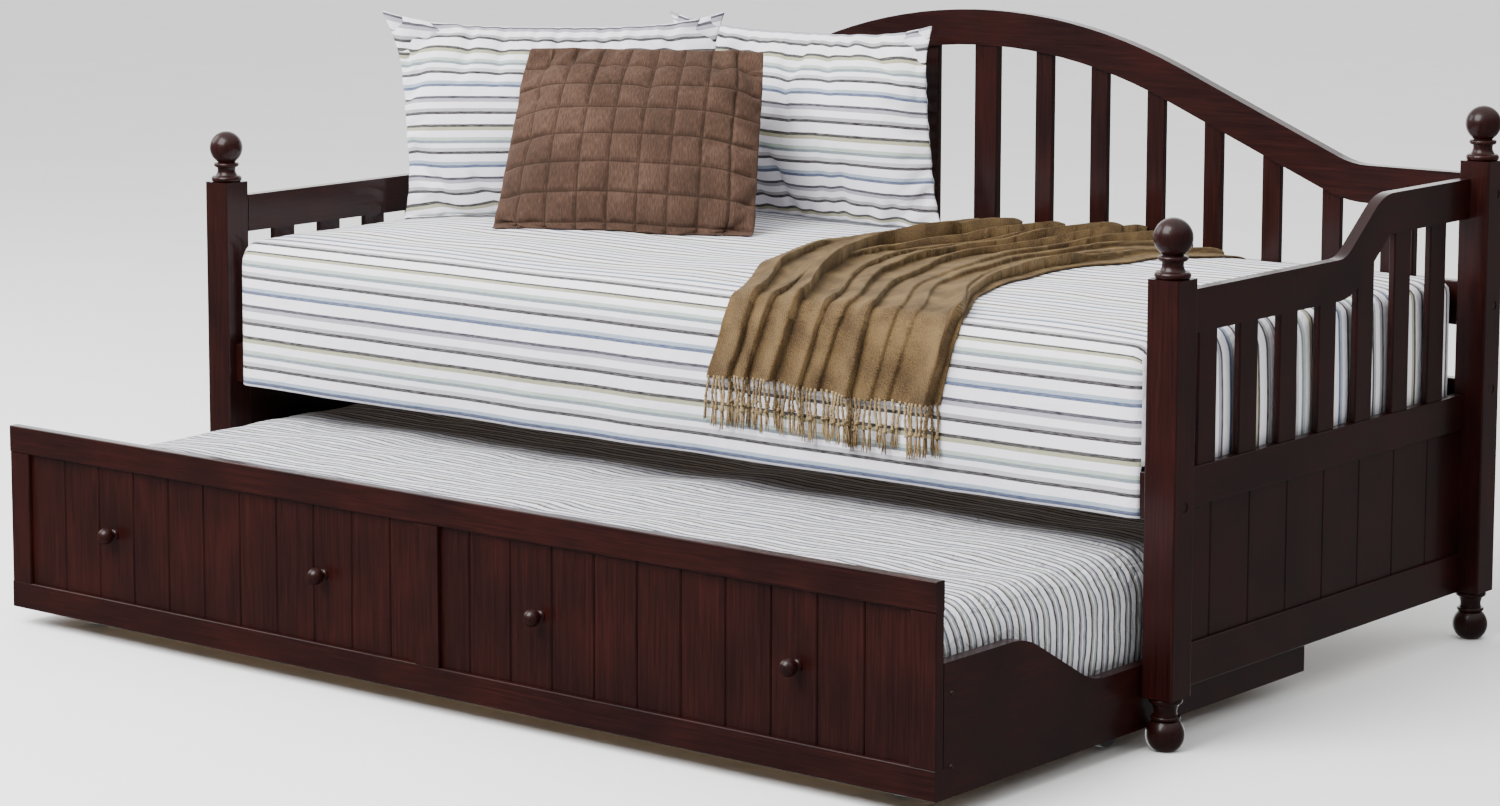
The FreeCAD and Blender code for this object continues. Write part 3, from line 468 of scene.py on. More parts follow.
@dataclass(frozen=True)
class TaupeVelvet(Finish):
    """Quilted cotton velvet: a taupe pile that pales where it is seen edge on.

    Attributes:
        deep: the pile's colour where it is brushed away from the eye.
        light: its colour where it is brushed towards the eye.
        pile_mm: how wide a tuft of pile is.
        cell_mm: a quilted cell's width and height.
        size_mm: the whole panel's width and height.
    """

    deep: str = "#36281f"
    light: str = "#564236"
    pile_mm: float = 2.2
    cell_mm: tuple[float, float] = (53.1, 51.3)
    size_mm: tuple[float, float] = (478.0, 410.0)

    def dress(self, tree: bpy.types.NodeTree, shader: bpy.types.Node) -> None:
        """Brushes the pile one way and another, over a fine nap.

        Args:
            tree: the material's node tree.
            shader: its main shader.
        """
        place = add_node(tree, "ShaderNodeTexCoord")
        brushed = add_node(tree, "ShaderNodeTexNoise", {"Vector": place.outputs["UV"], "Scale": 9.0,
                                                        "Detail": 4.0, "Distortion": 0.8})
        lengthwise = add_node(tree, "ShaderNodeMapping", {"Vector": place.outputs["UV"],
                                                          "Scale": (1000 / self.pile_mm, 90, 1)})
        nap = add_node(tree, "ShaderNodeTexNoise", {"Vector": lengthwise.outputs["Vector"], "Scale": 1.0,
                                                    "Detail": 2.0})
        both = add_node(tree, "ShaderNodeMath", {0: brushed.outputs["Fac"], 1: nap.outputs["Fac"]},
                        operation="ADD")
        half = add_node(tree, "ShaderNodeMath", {0: both.outputs["Value"], 1: 0.5}, operation="MULTIPLY")
        pile = add_node(tree, "ShaderNodeValToRGB", {"Fac": half.outputs["Value"]})
        set_stops(pile, [(0.36, self.deep), (0.5, "#463329"), (0.64, self.light)])
        # Painted shade: a dark line along each row of stitches stands in for the shade in the quilted
        # grooves.
        start = add_node(tree, "ShaderNodeMapping", {
            "Vector": place.outputs["UV"], "Location": [size / 2000 for size in self.size_mm] + [0.0]})
        rows = add_node(tree, "ShaderNodeTexBrick", {
            "Vector": start.outputs["Vector"], "Scale": 1.0, "Mortar Size": 0.0022, "Mortar Smooth": 0.9,
            "Brick Width": self.cell_mm[0] / 1000, "Row Height": self.cell_mm[1] / 1000}, offset=0.0)
        stitched = add_node(tree, "ShaderNodeMath", {0: rows.outputs["Fac"], 1: 0.55}, operation="MULTIPLY")
        # The dark colour mixed in here is painted shade, not a colour of the pile.
        stitch_painted_shade = add_node(tree, "ShaderNodeMix", {"Factor": stitched.outputs["Value"],
                                                   "A": pile.outputs["Color"], "B": linear("#1f150f")},
                           data_type="RGBA")
        feed(tree, shader, {"Base Color": stitch_painted_shade.outputs["Result"]})
        bump = add_node(tree, "ShaderNodeBump", {"Strength": 0.35, "Distance": 0.0012,
                                                 "Height": nap.outputs["Fac"]})
        feed(tree, shader, {"Normal": bump.outputs["Normal"], "Roughness": 0.95, "Specular IOR Level": 0.2,
                            "Sheen Weight": 0.22, "Sheen Roughness": 0.35, "Sheen Tint": linear("#c4ac9f")})


@dataclass(frozen=True)
class CamelWool(Finish):
    """Loosely woven wool blend: heathered camel yarns with a soft halo of fibre.

    Attributes:
        deep: the colour of the darker yarns.
        light: the colour of the lighter yarns.
        heather_mm: how far apart flecks of one colour are.
        twill_mm: how far apart the twill's ridges are.
    """

    deep: str = "#3f3020"
    light: str = "#6b5639"
    # The real yarns are about 0.8 mm thick: flecks and ridges are drawn this coarse to show.
    heather_mm: float = 2.56
    twill_mm: float = 4.464

    def dress(self, tree: bpy.types.NodeTree, shader: bpy.types.Node) -> None:
        """Heathers the yarns and raises the twill.

        Args:
            tree: the material's node tree.
            shader: its main shader.
        """
        place = add_node(tree, "ShaderNodeTexCoord")
        heather = add_node(tree, "ShaderNodeTexNoise", {"Vector": place.outputs["UV"],
                                                        "Scale": 1000 / self.heather_mm, "Detail": 3.0})
        broad = add_node(tree, "ShaderNodeTexNoise", {"Vector": place.outputs["UV"], "Scale": 14.0,
                                                      "Detail": 3.0})
        both = add_node(tree, "ShaderNodeMath", {0: heather.outputs["Fac"], 1: broad.outputs["Fac"]},
                        operation="ADD")
        half = add_node(tree, "ShaderNodeMath", {0: both.outputs["Value"], 1: 0.5}, operation="MULTIPLY")
        yarn = add_node(tree, "ShaderNodeValToRGB", {"Fac": half.outputs["Value"]})
        set_stops(yarn, [(0.41, self.deep), (0.59, self.light)])
        feed(tree, shader, {"Base Color": yarn.outputs["Color"]})
        twill = add_node(tree, "ShaderNodeTexWave", {"Vector": place.outputs["UV"],
                                                     "Scale": band_scale(self.twill_mm, diagonal=True),
                                                     "Distortion": 1.5, "Detail": 1.0},
                         wave_type="BANDS", bands_direction="DIAGONAL")
        rough = add_node(tree, "ShaderNodeMath", {0: twill.outputs["Fac"], 1: heather.outputs["Fac"]},
                         operation="ADD")
        bump = add_node(tree, "ShaderNodeBump", {"Strength": 0.5, "Distance": 0.0012,
                                                 "Height": rough.outputs["Value"]})
        feed(tree, shader, {"Normal": bump.outputs["Normal"], "Roughness": 0.95, "Specular IOR Level": 0.15,
                            "Sheen Weight": 0.22, "Sheen Roughness": 0.4, "Sheen Tint": linear("#d8c49c")})


@dataclass(frozen=True)
class StudioPaper(Finish):
    """Matt white background paper."""

    def dress(self, tree: bpy.types.NodeTree, shader: bpy.types.Node) -> None:
        """Adds the paper's faint tooth.

        Args:
            tree: the material's node tree.
            shader: its main shader.
        """
        place = add_node(tree, "ShaderNodeTexCoord")
        tooth = add_node(tree, "ShaderNodeTexNoise", {"Vector": place.outputs["Object"], "Scale": 3.0})
        ramp = add_node(tree, "ShaderNodeValToRGB", {"Fac": tooth.outputs["Fac"]})
        set_stops(ramp, [(0.2, "#f4f4f4"), (0.8, "#f8f8f8")])
        feed(tree, shader, {"Base Color": ramp.outputs["Color"], "Roughness": 0.9,
                            "Specular IOR Level": 0.1})


COTTON = StripedCotton("yarn_dyed_cotton_percale")
TRUNDLE_COTTON = StripedCotton("fine_striped_cotton_percale", stripes=TRUNDLE_STRIPES, repeat_mm=62.0,
                               dark_mm=4.2, pale_mm=4.2, ground="#d6d5dc", crease=2.2, wander_mm=14.0,
                               wander_scale=16.0, crease_scale=24.0)
VELVET = TaupeVelvet("quilted_taupe_velvet")
WOOL = CamelWool("woven_camel_wool")
FRAYED_WOOL = CamelWool("frayed_camel_wool", deep="#5c4a33", light="#a08b68")
TICKING = MattressTicking("woven_mattress_ticking")
ZINC = PlatedSteel("zinc_plated_steel")
BRONZED = PlatedSteel("bronzed_steel", deep="#3d302c", light="#5a4a44")
NYLON = MouldedNylon("moulded_black_nylon")
PAPER = StudioPaper("white_background_paper")
PINE = {way: PlanedPine(f"planed_pine_{way.name[-1].lower()}", grain=way) for way in Grain}
LACQUER = {way: EspressoLacquer(f"espresso_lacquered_poplar_{way.name[-1].lower()}", grain=way)
           for way in Grain}


# ------------------------------------------------------------------ mesh making

def waves(u: Points, v: Points, seed: int, count: int = 5, longest: float = 0.6) -> Points:
    """A smooth uneven surface made of a few long sine waves.

    Args:
        u: first coordinate, in metres.
        v: second coordinate, in metres.
        seed: picks the waves.
        count: how many waves.
        longest: the longest wavelength, in metres.

    Returns:
        Heights between about -1 and 1.
    """
    pick = np.random.default_rng(seed)
    total = np.zeros_like(u, dtype=float)
    weight = 0.0
    for index in range(count):
        length = longest * 0.72 ** index
        angle, start = pick.uniform(0, math.pi), pick.uniform(0, 2 * math.pi)
        bend = pick.uniform(0.2, 0.6)
        along = u * math.cos(angle) + v * math.sin(angle)
        across = v * math.cos(angle) - u * math.sin(angle)
        share = 0.8 ** index
        total += share * np.sin(2 * math.pi * along / length + start + bend * np.sin(5 * across / length))
        weight += share
    return total / weight


def new_mesh(name: str, points: Points, faces: Sequence[Sequence[int]],
             uv: Optional[Sequence[Sequence[tuple[float, float]]]] = None) -> bpy.types.Object:
    """Makes a smooth-shaded mesh object.

    Args:
        name: the object's name.
        points: vertex positions, one row each.
        faces: vertex indices of each face.
        uv: the cloth coordinates of each face's corners, in metres.

    Returns:
        The linked object.
    """
    mesh = bpy.data.meshes.new(name)
    mesh.from_pydata([tuple(p) for p in points], [], [tuple(f) for f in faces])
    if uv is not None:
        layer = mesh.uv_layers.new(name="cloth")
        layer.data.foreach_set("uv", [value for face in uv for corner in face for value in corner])
    mesh.polygons.foreach_set("use_smooth", [True] * len(mesh.polygons))
    mesh.update()
    made = bpy.data.objects.new(name, mesh)
    bpy.context.scene.collection.objects.link(made)
    return made


def grid_faces(rows: int, columns: int) -> list[tuple[int, int, int, int]]:
    """Quads of a grid of points stored row by row."""
    return [(r * columns + c, r * columns + c + 1, (r + 1) * columns + c + 1, (r + 1) * columns + c)
            for r in range(rows - 1) for c in range(columns - 1)]


def bake(piece: bpy.types.Object) -> bpy.types.Object:
    """Applies every modifier of a piece.

    Args:
        piece: the object, which keeps its name.

    Returns:
        The same object with its final mesh.
    """
    graph = bpy.context.evaluated_depsgraph_get()
    final = bpy.data.meshes.new_from_object(piece.evaluated_get(graph), preserve_all_data_layers=True,
                                            depsgraph=graph)
    piece.modifiers.clear()
    old = piece.data
    piece.data = final
    bpy.data.meshes.remove(old)
    final.polygons.foreach_set("use_smooth", [True] * len(final.polygons))
    return piece


def coordinates(piece: bpy.types.Object) -> Points:
    """Reads a mesh's vertex positions.

    Args:
        piece: the mesh object.

    Returns:
        The positions, one row each.
    """
    flat = np.empty(len(piece.data.vertices) * 3)
    piece.data.vertices.foreach_get("co", flat)
    return flat.reshape(-1, 3)


def set_coordinates(piece: bpy.types.Object, points: Points) -> None:
    """Moves a mesh's vertices to new positions."""
    piece.data.vertices.foreach_set("co", points.reshape(-1))
    piece.data.update()


def tube(points: Sequence[Vector], radii: Sequence[float], sides: int = 6) -> tuple[list, list]:
    """A tube along a path.

    Args:
        points: the path.
        radii: the tube's radius at each point.
        sides: how many sides it has.

    Returns:
        Its vertices and faces.
    """
    corners, faces = [], []
    for index, (point, radius) in enumerate(zip(points, radii)):
        ahead = points[min(index + 1, len(points) - 1)] - points[max(index - 1, 0)]
        turn = ahead.to_track_quat("Z", "Y")
        for side in range(sides):
            angle = 2 * math.pi * side / sides
            corners.append(point + turn @ Vector((radius * math.cos(angle), radius * math.sin(angle), 0)))
    for ring in range(len(points) - 1):
        for side in range(sides):
            a, b = ring * sides + side, ring * sides + (side + 1) % sides
            faces.append((a, b, b + sides, a + sides))
    faces.append(tuple(range(sides))[::-1])
    faces.append(tuple(range((len(points) - 1) * sides, len(points) * sides)))
    return corners, faces


def finish_piece(piece: bpy.types.Object, finish: Finish, body: str, slot: str, *stands_for: str) -> None:
    """Dresses a piece, ties it to its body and hides the solids that it stands for.

    Args:
        piece: the object.
        finish: its finish.
        body: the body it rides on.
        slot: a material slot's name; not used.
        stands_for: plain solids that it replaces.
    """
    piece.data.materials.clear()
    piece.data.materials.append(finish.material())
    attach(piece, body)
    if stands_for:
        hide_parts(*stands_for)
    log.info("%s: %d faces on %s", piece.name, len(piece.data.polygons), body)


# ------------------------------------------------------------------ fitted cloth over a block

class Side(Enum):
    """The sides of a block of bedding, as (axis, end)."""

    LEFT = (0, 0)
    RIGHT = (0, 1)
    FRONT = (1, 0)
    REAR = (1, 1)
    BOTTOM = (2, 0)
    TOP = (2, 1)


@dataclass
class FittedBlock:
    """Cloth over a mattress, made from the sides of a block.

    Attributes:
        low: the block's lowest corner.
        high: its highest corner.
        cell: the size of a cell of cloth.
        round_top: the radius of the upper edges.
        round_rear: the radius of the upper rear edge, if it is another.
        round_side: the radius of the upright edges.
        crown: how far the middle of the top stands over its edges.
        swell: how far the sides stand out half-way up.
        ripple: the height of its soft undulations.
        seed: picks the undulations.
    """

    low: Vector
    high: Vector
    cell: float = 0.012
    round_top: float = 0.04
    round_rear: Optional[float] = None
    round_side: float = 0.035
    crown: float = 0.012
    swell: float = 0.006
    ripple: float = 0.002
    seed: int = 1

    def shaped(self, raw: Points) -> Points:
        """Moves points of the square block to the soft cloth's surface.

        Args:
            raw: points on the square block.

        Returns:
            The same points on the cloth.
        """
        low, high = np.array(self.low), np.array(self.high)
        size, middle = high - low, (low + high) / 2
        out = raw.astype(float).copy()
        # Upper edges, then upright edges: each is rolled round its own radius.
        radius = np.tile([self.round_side, self.round_side, self.round_top], (len(out), 1))
        if self.round_rear is not None:
            radius[out[:, 1] > middle[1], 2] = self.round_rear
        inner = np.clip(out, low + radius * [1, 1, -9], high - radius)
        away = (out - inner) / radius
        length = np.linalg.norm(away, axis=1)
        scale = np.where(length > 1, 1 / np.maximum(length, 1e-9), 1.0)
        out = inner + away * scale[:, None] * radius
        u, v = (out[:, 0] - middle[0]) / (size[0] / 2), (out[:, 1] - middle[1]) / (size[1] / 2)
        w = np.clip((out[:, 2] - low[2]) / size[2], 0, 1)
        edge = (1 - np.abs(u) ** 14) * (1 - np.abs(v) ** 6)
        out[:, 2] += self.crown * edge * w
        bulge = self.swell * np.sin(math.pi * w) * (1 - 0.5 * w)
        end_face = np.where(np.abs(u) > 0.97, np.sign(u), 0)
        long_face = np.where(np.abs(v) > 0.94, np.sign(v), 0) * (1 - u ** 8)
        out[:, 0] += end_face * bulge * (1 - v ** 4)
        out[:, 1] += long_face * bulge
        on_top = waves(out[:, 0] + 0.3 * out[:, 2], out[:, 1] + out[:, 2], self.seed, 6, 0.7)
        out[:, 2] += self.ripple * on_top * w * edge
        on_face = waves(out[:, 0], out[:, 2] * 0.4, self.seed + 7, 5, 0.5)
        out[:, 1] += self.ripple * on_face * long_face * (1.2 - w)
        return out

    def mesh(self, name: str, sides: Sequence[Side],
             drop: Optional[Callable[[Points], np.ndarray]] = None) -> bpy.types.Object:
        """Cuts the cloth's sides into cells that share their edges.

        Args:
            name: the new object's name.
            sides: the sides that the cloth covers.
            drop: says of each cell's middle, on the square block, whether it is left out.

        Returns:
            The cloth as a mesh object whose UVs are in metres.
        """
        size = self.high - self.low
        count = [max(2, round(size[axis] / self.cell)) for axis in range(3)]
        index_of: dict[tuple[int, int, int], int] = {}
        raw, faces, uv = [], [], []

        def corner(key: tuple[int, int, int]) -> int:
            """Finds a vertex, and makes it when it is first asked for.

            Args:
                key: its steps along X, Y and Z.

            Returns:
                Its index.
            """
            if key not in index_of:
                index_of[key] = len(raw)
                raw.append([self.low[a] + size[a] * key[a] / count[a] for a in range(3)])
            return index_of[key]

        for side in sides:
            axis, end = side.value
            first, second = [a for a in range(3) if a != axis]
            for i in range(count[first]):
                for j in range(count[second]):
                    keys = []
                    for step in ((0, 0), (1, 0), (1, 1), (0, 1)):
                        key = [0, 0, 0]
                        key[axis], key[first], key[second] = end * count[axis], i + step[0], j + step[1]
                        keys.append(tuple(key))
                    if (axis == 1) == bool(end):
                        keys.reverse()
                    here = [corner(key) for key in keys]
                    middle = np.mean([raw[h] for h in here], axis=0)
                    if drop is not None and drop(middle):
                        continue
                    faces.append(here)
                    uv.append([self.cloth_uv(side, raw[h]) for h in here])
        points = self.shaped(np.array(raw))
        return new_mesh(name, points, faces, uv)

    def cloth_uv(self, side: Side, point: Sequence[float]) -> tuple[float, float]:
        """Says where a point of the block lies on the flat cloth.

        Args:
            side: the side that the point is on.
            point: the point on the square block.

        Returns:
            Its place on the cloth, in metres.
        """
        x, y, z = point
        fall = self.high.z - z
        if side in (Side.FRONT, Side.REAR):
            return x, (self.low.y - fall) if side is Side.FRONT else (self.high.y + fall)
        if side in (Side.LEFT, Side.RIGHT):
            return (self.low.x - fall) if side is Side.LEFT else (self.high.x + fall), y
        return x, y


# ------------------------------------------------------------------ stuffed pieces

# How far the rear panel's cloth coordinates lie from the front panel's, in metres.
REAR_PANEL = 2.0


@dataclass
class StuffedPiece:
    """A pillow or cushion: two panels sewn round their edge and blown up as cloth.

    Attributes:
        name: the piece's name.
        width: its finished width.
        height: its finished height.
        thickness: its finished thickness.
        base: the middle of its lower edge, on the bedding.
        turn: its turn about the upright, in degrees.
        lean: how far it leans back, in degrees.
        cell: the size of a cell of cloth.
        ears: how far its corners stand out.
        pinch: how far its sides draw in between the corners.
        stiffness: the cloth's resistance to bending.
        spare: how much longer the cloth is than its seams, which gathers it along them.
        slump: how far its top leans sideways over its bottom.
        flare: how much wider its bottom is than its top, as a share of its width.
        seed: picks its unevenness.
        clearance: how far it stays above the bedding.
        sag: how deep the bedding may fall away under it before its lower part follows.
        squash: over what height it spreads where it is pressed down.
        press: over what depth it flattens against the bed's back.
    """

    name: str
    width: float
    height: float
    thickness: float
    base: Vector
    turn: float
    lean: float
    cell: float = 0.011
    ears: float = 0.012
    pinch: float = 0.02
    stiffness: float = 0.25
    spare: float = 0.08
    slump: float = 0.0
    flare: float = 0.0
    seed: int = 1
    clearance: float = 0.002
    sag: float = 0.045
    squash: float = 0.012
    press: float = 0.02

    def panels(self) -> bpy.types.Object:
        """Cuts the two panels and sews them.

        Returns:
            A thin closed pillow, flat in X and Z, facing -Y.
        """
        columns, rows = round(self.width / self.cell) + 1, round(self.height / self.cell) + 1
        a = np.linspace(-1, 1, columns)
        b = np.linspace(-1, 1, rows)
        grid_a, grid_b = np.meshgrid(a, b)
        x = grid_a * self.width / 2 * (1 - self.pinch * (1 - grid_b ** 2))
        z = grid_b * self.height / 2 * (1 - 1.3 * self.pinch * (1 - grid_a ** 2))
        corner = (np.abs(grid_a) ** 5) * (np.abs(grid_b) ** 5)
        x += np.sign(grid_a) * self.ears * corner
        z += np.sign(grid_b) * self.ears * corner
        depth = 0.16 * self.thickness * (1 - grid_a ** 4) * (1 - grid_b ** 4)
        depth *= 1 + 0.15 * waves(x, z, self.seed, 4, 0.5)
        index = np.arange(rows * columns).reshape(rows, columns)
        rim = np.zeros((rows, columns), bool)
        rim[[0, -1], :] = rim[:, [0, -1]] = True
        front = np.stack([x, -depth, z], axis=-1).reshape(-1, 3)
        back_index = index.copy()
        back_index[~rim] = rows * columns + np.arange((~rim).sum())
        back = np.stack([x, depth, z], axis=-1)[~rim]
        points = np.concatenate([front, back])
        faces, uv = [], []
        flat = np.stack([grid_a * self.width / 2, grid_b * self.height / 2], axis=-1)
        for r in range(rows - 1):
            for c in range(columns - 1):
                around = [(r, c), (r, c + 1), (r + 1, c + 1), (r + 1, c)]
                faces.append([index[p] for p in around])
                uv.append([tuple(flat[p]) for p in around])
                faces.append([back_index[p] for p in reversed(around)])
                uv.append([tuple(flat[p] + [0.0, REAR_PANEL]) for p in reversed(around)])
        return new_mesh(self.name, points, faces, uv)

    def inflate(self, piece: bpy.types.Object, frames: int = 24) -> None:
        """Blows the sewn panels up as cloth and keeps the result.

        Args:
            piece: the sewn panels.
            frames: how many steps the cloth is given.
        """
        seam = piece.vertex_groups.new(name="seam")
        points = coordinates(piece)
        seam.add([int(i) for i in np.nonzero(np.abs(points[:, 1]) < 1e-7)[0]], 1.0, "REPLACE")
        cloth = piece.modifiers.new("cloth", "CLOTH")
        settings = cloth.settings
        settings.quality = 7
        settings.mass = 0.25
        settings.tension_stiffness = settings.compression_stiffness = 18
        settings.shear_stiffness = 6
        settings.bending_stiffness = self.stiffness
        settings.use_pressure = True
        settings.uniform_pressure_force = 4.0
        settings.vertex_group_mass = "seam"
        settings.shrink_min = -self.spare
        settings.effector_weights.gravity = 0.0
        cloth.collision_settings.use_collision = False
        cloth.point_cache.frame_start, cloth.point_cache.frame_end = 1, frames
        scene = bpy.context.scene
        for step in range(1, frames + 1):
            scene.frame_set(step)
        bake(piece)
        scene.frame_set(1)

    def settle(self, piece: bpy.types.Object, floor: Callable[[Points, Points], Points],
               wall: Optional[float] = None) -> None:
        """Fits the piece to its finished size, stands it up and lets it rest on the bedding.

        Args:
            piece: the inflated piece.
            floor: the bedding's height under points in X and Y.
            wall: the Y that nothing may pass, where it leans on the bed's back.
        """
        points = coordinates(piece)
        low, high = points.min(0), points.max(0)
        size = np.maximum(high - low, 1e-6)
        points -= (low + high) / 2
        points *= np.array([self.width, self.thickness, self.height]) / size
        points[:, 0] *= 1 - self.flare * points[:, 2] / self.height
        points[:, 0] += self.slump * points[:, 2] / self.height
        points[:, 2] += self.height / 2
        turn = Euler((math.radians(-self.lean), 0, math.radians(self.turn)), "XYZ").to_matrix()
        points = points @ np.array(turn).T + np.array(self.base)
        under = floor(points[:, 0], points[:, 1]) + self.clearance
        # Its lower part sags with the bedding towards the mattress's edges.
        low_down = np.clip(1 - (points[:, 2] - self.base.z) / (0.6 * self.height), 0, 1) ** 1.5
        points[:, 2] += np.minimum(under - self.base.z - self.sag, 0) * low_down
        # The bottom spreads on the bedding instead of passing through it.
        sink = under - points[:, 2]
        spread = under + self.squash * np.exp(-(sink + self.squash) / self.squash)
        points[:, 2] = np.where(sink > -self.squash, spread, points[:, 2])
        if wall is not None:
            past = points[:, 1] - wall
            flattened = wall - self.press * np.exp(-(past + self.press) / self.press)
            points[:, 1] = np.where(past > -self.press, flattened, points[:, 1])
        set_coordinates(piece, points)

    def smooth(self, piece: bpy.types.Object, levels: int = 1) -> None:
        """Refines the piece once its cloth is settled.

        Args:
            piece: the settled piece.
            levels: how often its faces are divided.
        """
        refine = piece.modifiers.new("refine", "SUBSURF")
        refine.levels = refine.render_levels = levels
        bake(piece)

    def build(self, floor: Callable[[Points, Points], Points], wall: Optional[float] = None,
              levels: int = 1) -> bpy.types.Object:
        """Makes the whole piece.

        Args:
            floor: the bedding's height under points in X and Y.
            wall: the Y that nothing may pass.
            levels: how often its mesh is refined.

        Returns:
            The finished piece, not yet dressed.
        """
        piece = self.panels()
        self.inflate(piece, 24)
        self.settle(piece, floor, wall)
        self.smooth(piece, levels)
        return piece


@dataclass
class QuiltedCushion(StuffedPiece):
    """A stuffed cushion with stitched channels in a grid.

    Attributes:
        columns: cells across.
        rows: cells up.
        depth: how deep the stitching pulls in.
        groove: how far from the stitches the cloth is drawn in.
        border: the width of the plain border, as a share of the panel.
    """

    columns: int = 9
    rows: int = 9
    depth: float = 0.0042
    groove: float = 0.0034
    border: float = 0.03

    def quilt(self, piece: bpy.types.Object) -> None:
        """Pulls the cloth in along the stitched lines.

        Args:
            piece: the settled and refined cushion.
        """
        mesh = piece.data
        count = len(mesh.vertices)
        uv = np.empty(len(mesh.loops) * 2)
        mesh.uv_layers[0].data.foreach_get("uv", uv)
        corner = np.empty(len(mesh.loops), int)
        mesh.loops.foreach_get("vertex_index", corner)
        flat = np.zeros((count, 2))
        flat[corner] = uv.reshape(-1, 2)
        flat[:, 1] = np.where(flat[:, 1] > REAR_PANEL / 2, flat[:, 1] - REAR_PANEL, flat[:, 1])
        normal = np.empty(count * 3)
        mesh.vertices.foreach_get("normal", normal)
        normal = normal.reshape(-1, 3)
        u = (flat[:, 0] / self.width + 0.5) * self.columns
        v = (flat[:, 1] / self.height + 0.5) * self.rows
        to_u = np.abs(u - np.round(u)) * self.width / self.columns
        to_v = np.abs(v - np.round(v)) * self.height / self.rows
        nearest = np.minimum(to_u, to_v)
        stitch = np.exp(-(nearest / self.groove) ** 2)
        puff = np.sin(math.pi * np.clip(u % 1, 0, 1)) * np.sin(math.pi * np.clip(v % 1, 0, 1))
        to_rim = np.minimum(0.5 - np.abs(flat[:, 0] / self.width), 0.5 - np.abs(flat[:, 1] / self.height))
        rim = np.clip(to_rim / self.border, 0, 1)
        move = rim * (self.depth * 0.7 * puff - self.depth * stitch)
        set_coordinates(piece, coordinates(piece) + normal * move[:, None])


# ------------------------------------------------------------------ the bedding

@dataclass
class Bedding:
    """Everything soft on the daybed itself.

    Attributes:
        hem_wave: how far the cover's hem waves.
    """

    hem_wave: float = 0.003

    def __post_init__(self) -> None:
        """Takes the cover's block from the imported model."""
        low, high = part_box("bed_cover")
        self.block = FittedBlock(low, high, cell=0.0115, round_top=0.045, round_rear=0.018,
                                 round_side=0.03, crown=0.012, swell=0.007, ripple=0.006, seed=4)

    def top(self, x: Points, y: Points) -> Points:
        """The height of the cover's top under points in X and Y."""
        raw = np.stack([x, y, np.full_like(x, self.block.high.z)], axis=-1)
        return self.block.shaped(raw)[:, 2]

    def cover(self) -> bpy.types.Object:
        """Makes the striped cover: top, front skirt, rear and tucked ends.

        Returns:
            The dressed cover.
        """
        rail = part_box("front_bed_rail")

        def at_rail(middle: Points) -> bool:
            """Leaves out the ends' cloth where the front rail passes."""
            return (abs(middle[0]) > abs(self.block.high.x) - 0.001 and middle[1] < rail[1].y + 0.003
                    and middle[2] < rail[1].z + 0.006)

        piece = self.block.mesh("bed_cover_cloth", [Side.TOP, Side.FRONT, Side.REAR, Side.LEFT, Side.RIGHT],
                                at_rail)
        points = coordinates(piece)
        low = self.block.low
        # Only the front skirt's lowest 100 mm wave.
        skirt = np.clip(1 - (points[:, 2] - low.z) / 0.1, 0, 1) * (points[:, 1] < low.y + 0.02)
        points[:, 2] += self.hem_wave * skirt * np.abs(waves(points[:, 0], points[:, 2] * 0, 21, 4, 0.8))
        points[:, 1] -= 0.003 * skirt * (1 + waves(points[:, 0], points[:, 2] * 0, 22, 4, 0.5)) / 2
        set_coordinates(piece, points)
        thick = piece.modifiers.new("thickness", "SOLIDIFY")
        thick.thickness, thick.offset = 0.0022, -1.0
        bake(piece)
        finish_piece(piece, COTTON, "daybed", "striped_cotton", "bed_cover")
        return piece

    def mattress(self) -> bpy.types.Object:
        """Makes the upper mattress that the cover hides.

        Returns:
            The dressed mattress.
        """
        low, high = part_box("mattress_top")
        block = FittedBlock(low, high, cell=0.03, round_top=0.03, round_side=0.03, crown=0.0, swell=0.0,
                            ripple=0.0, seed=2)
        piece = block.mesh("upper_mattress", list(Side))
        finish_piece(piece, TICKING, "daybed", "ticking", "mattress_top")
        return piece

    def pillows(self) -> None:
        """Makes the two pillows and the quilted cushion in front of them."""
        left = StuffedPiece("striped_pillow_left", width=0.67, height=0.448, thickness=0.155,
                            base=Vector((-0.714, 0.1, 0.574)), turn=37.5, lean=9,
                            ears=0.036, slump=-0.035, spare=0.1, seed=3)
        right = StuffedPiece("striped_pillow_right", width=0.645, height=0.432, thickness=0.14,
                             base=Vector((-0.362, 0.385, 0.574)), turn=0, lean=5,
                             ears=0.03, slump=-0.075, spare=0.1, seed=5)
        for pillow, solid, wall in ((left, "pillow_left", None), (right, "pillow_right", 0.468)):
            piece = pillow.build(self.top, wall, levels=1)
            finish_piece(piece, COTTON, "daybed", "striped_cotton", solid)
        cushion = QuiltedCushion("quilted_velvet_cushion", width=0.478, height=0.41, thickness=0.125,
                                 base=Vector((-0.455, -0.03, 0.6)), turn=27, lean=32, cell=0.0095,
                                 ears=-0.005, pinch=0.008, flare=0.09, stiffness=0.8, spare=0.07,
                                 seed=9, columns=9, rows=8)
        piece = cushion.build(self.top, None, levels=2)
        cushion.quilt(piece)
        finish_piece(piece, VELVET, "daybed", "quilted_velvet", "quilted_cushion")


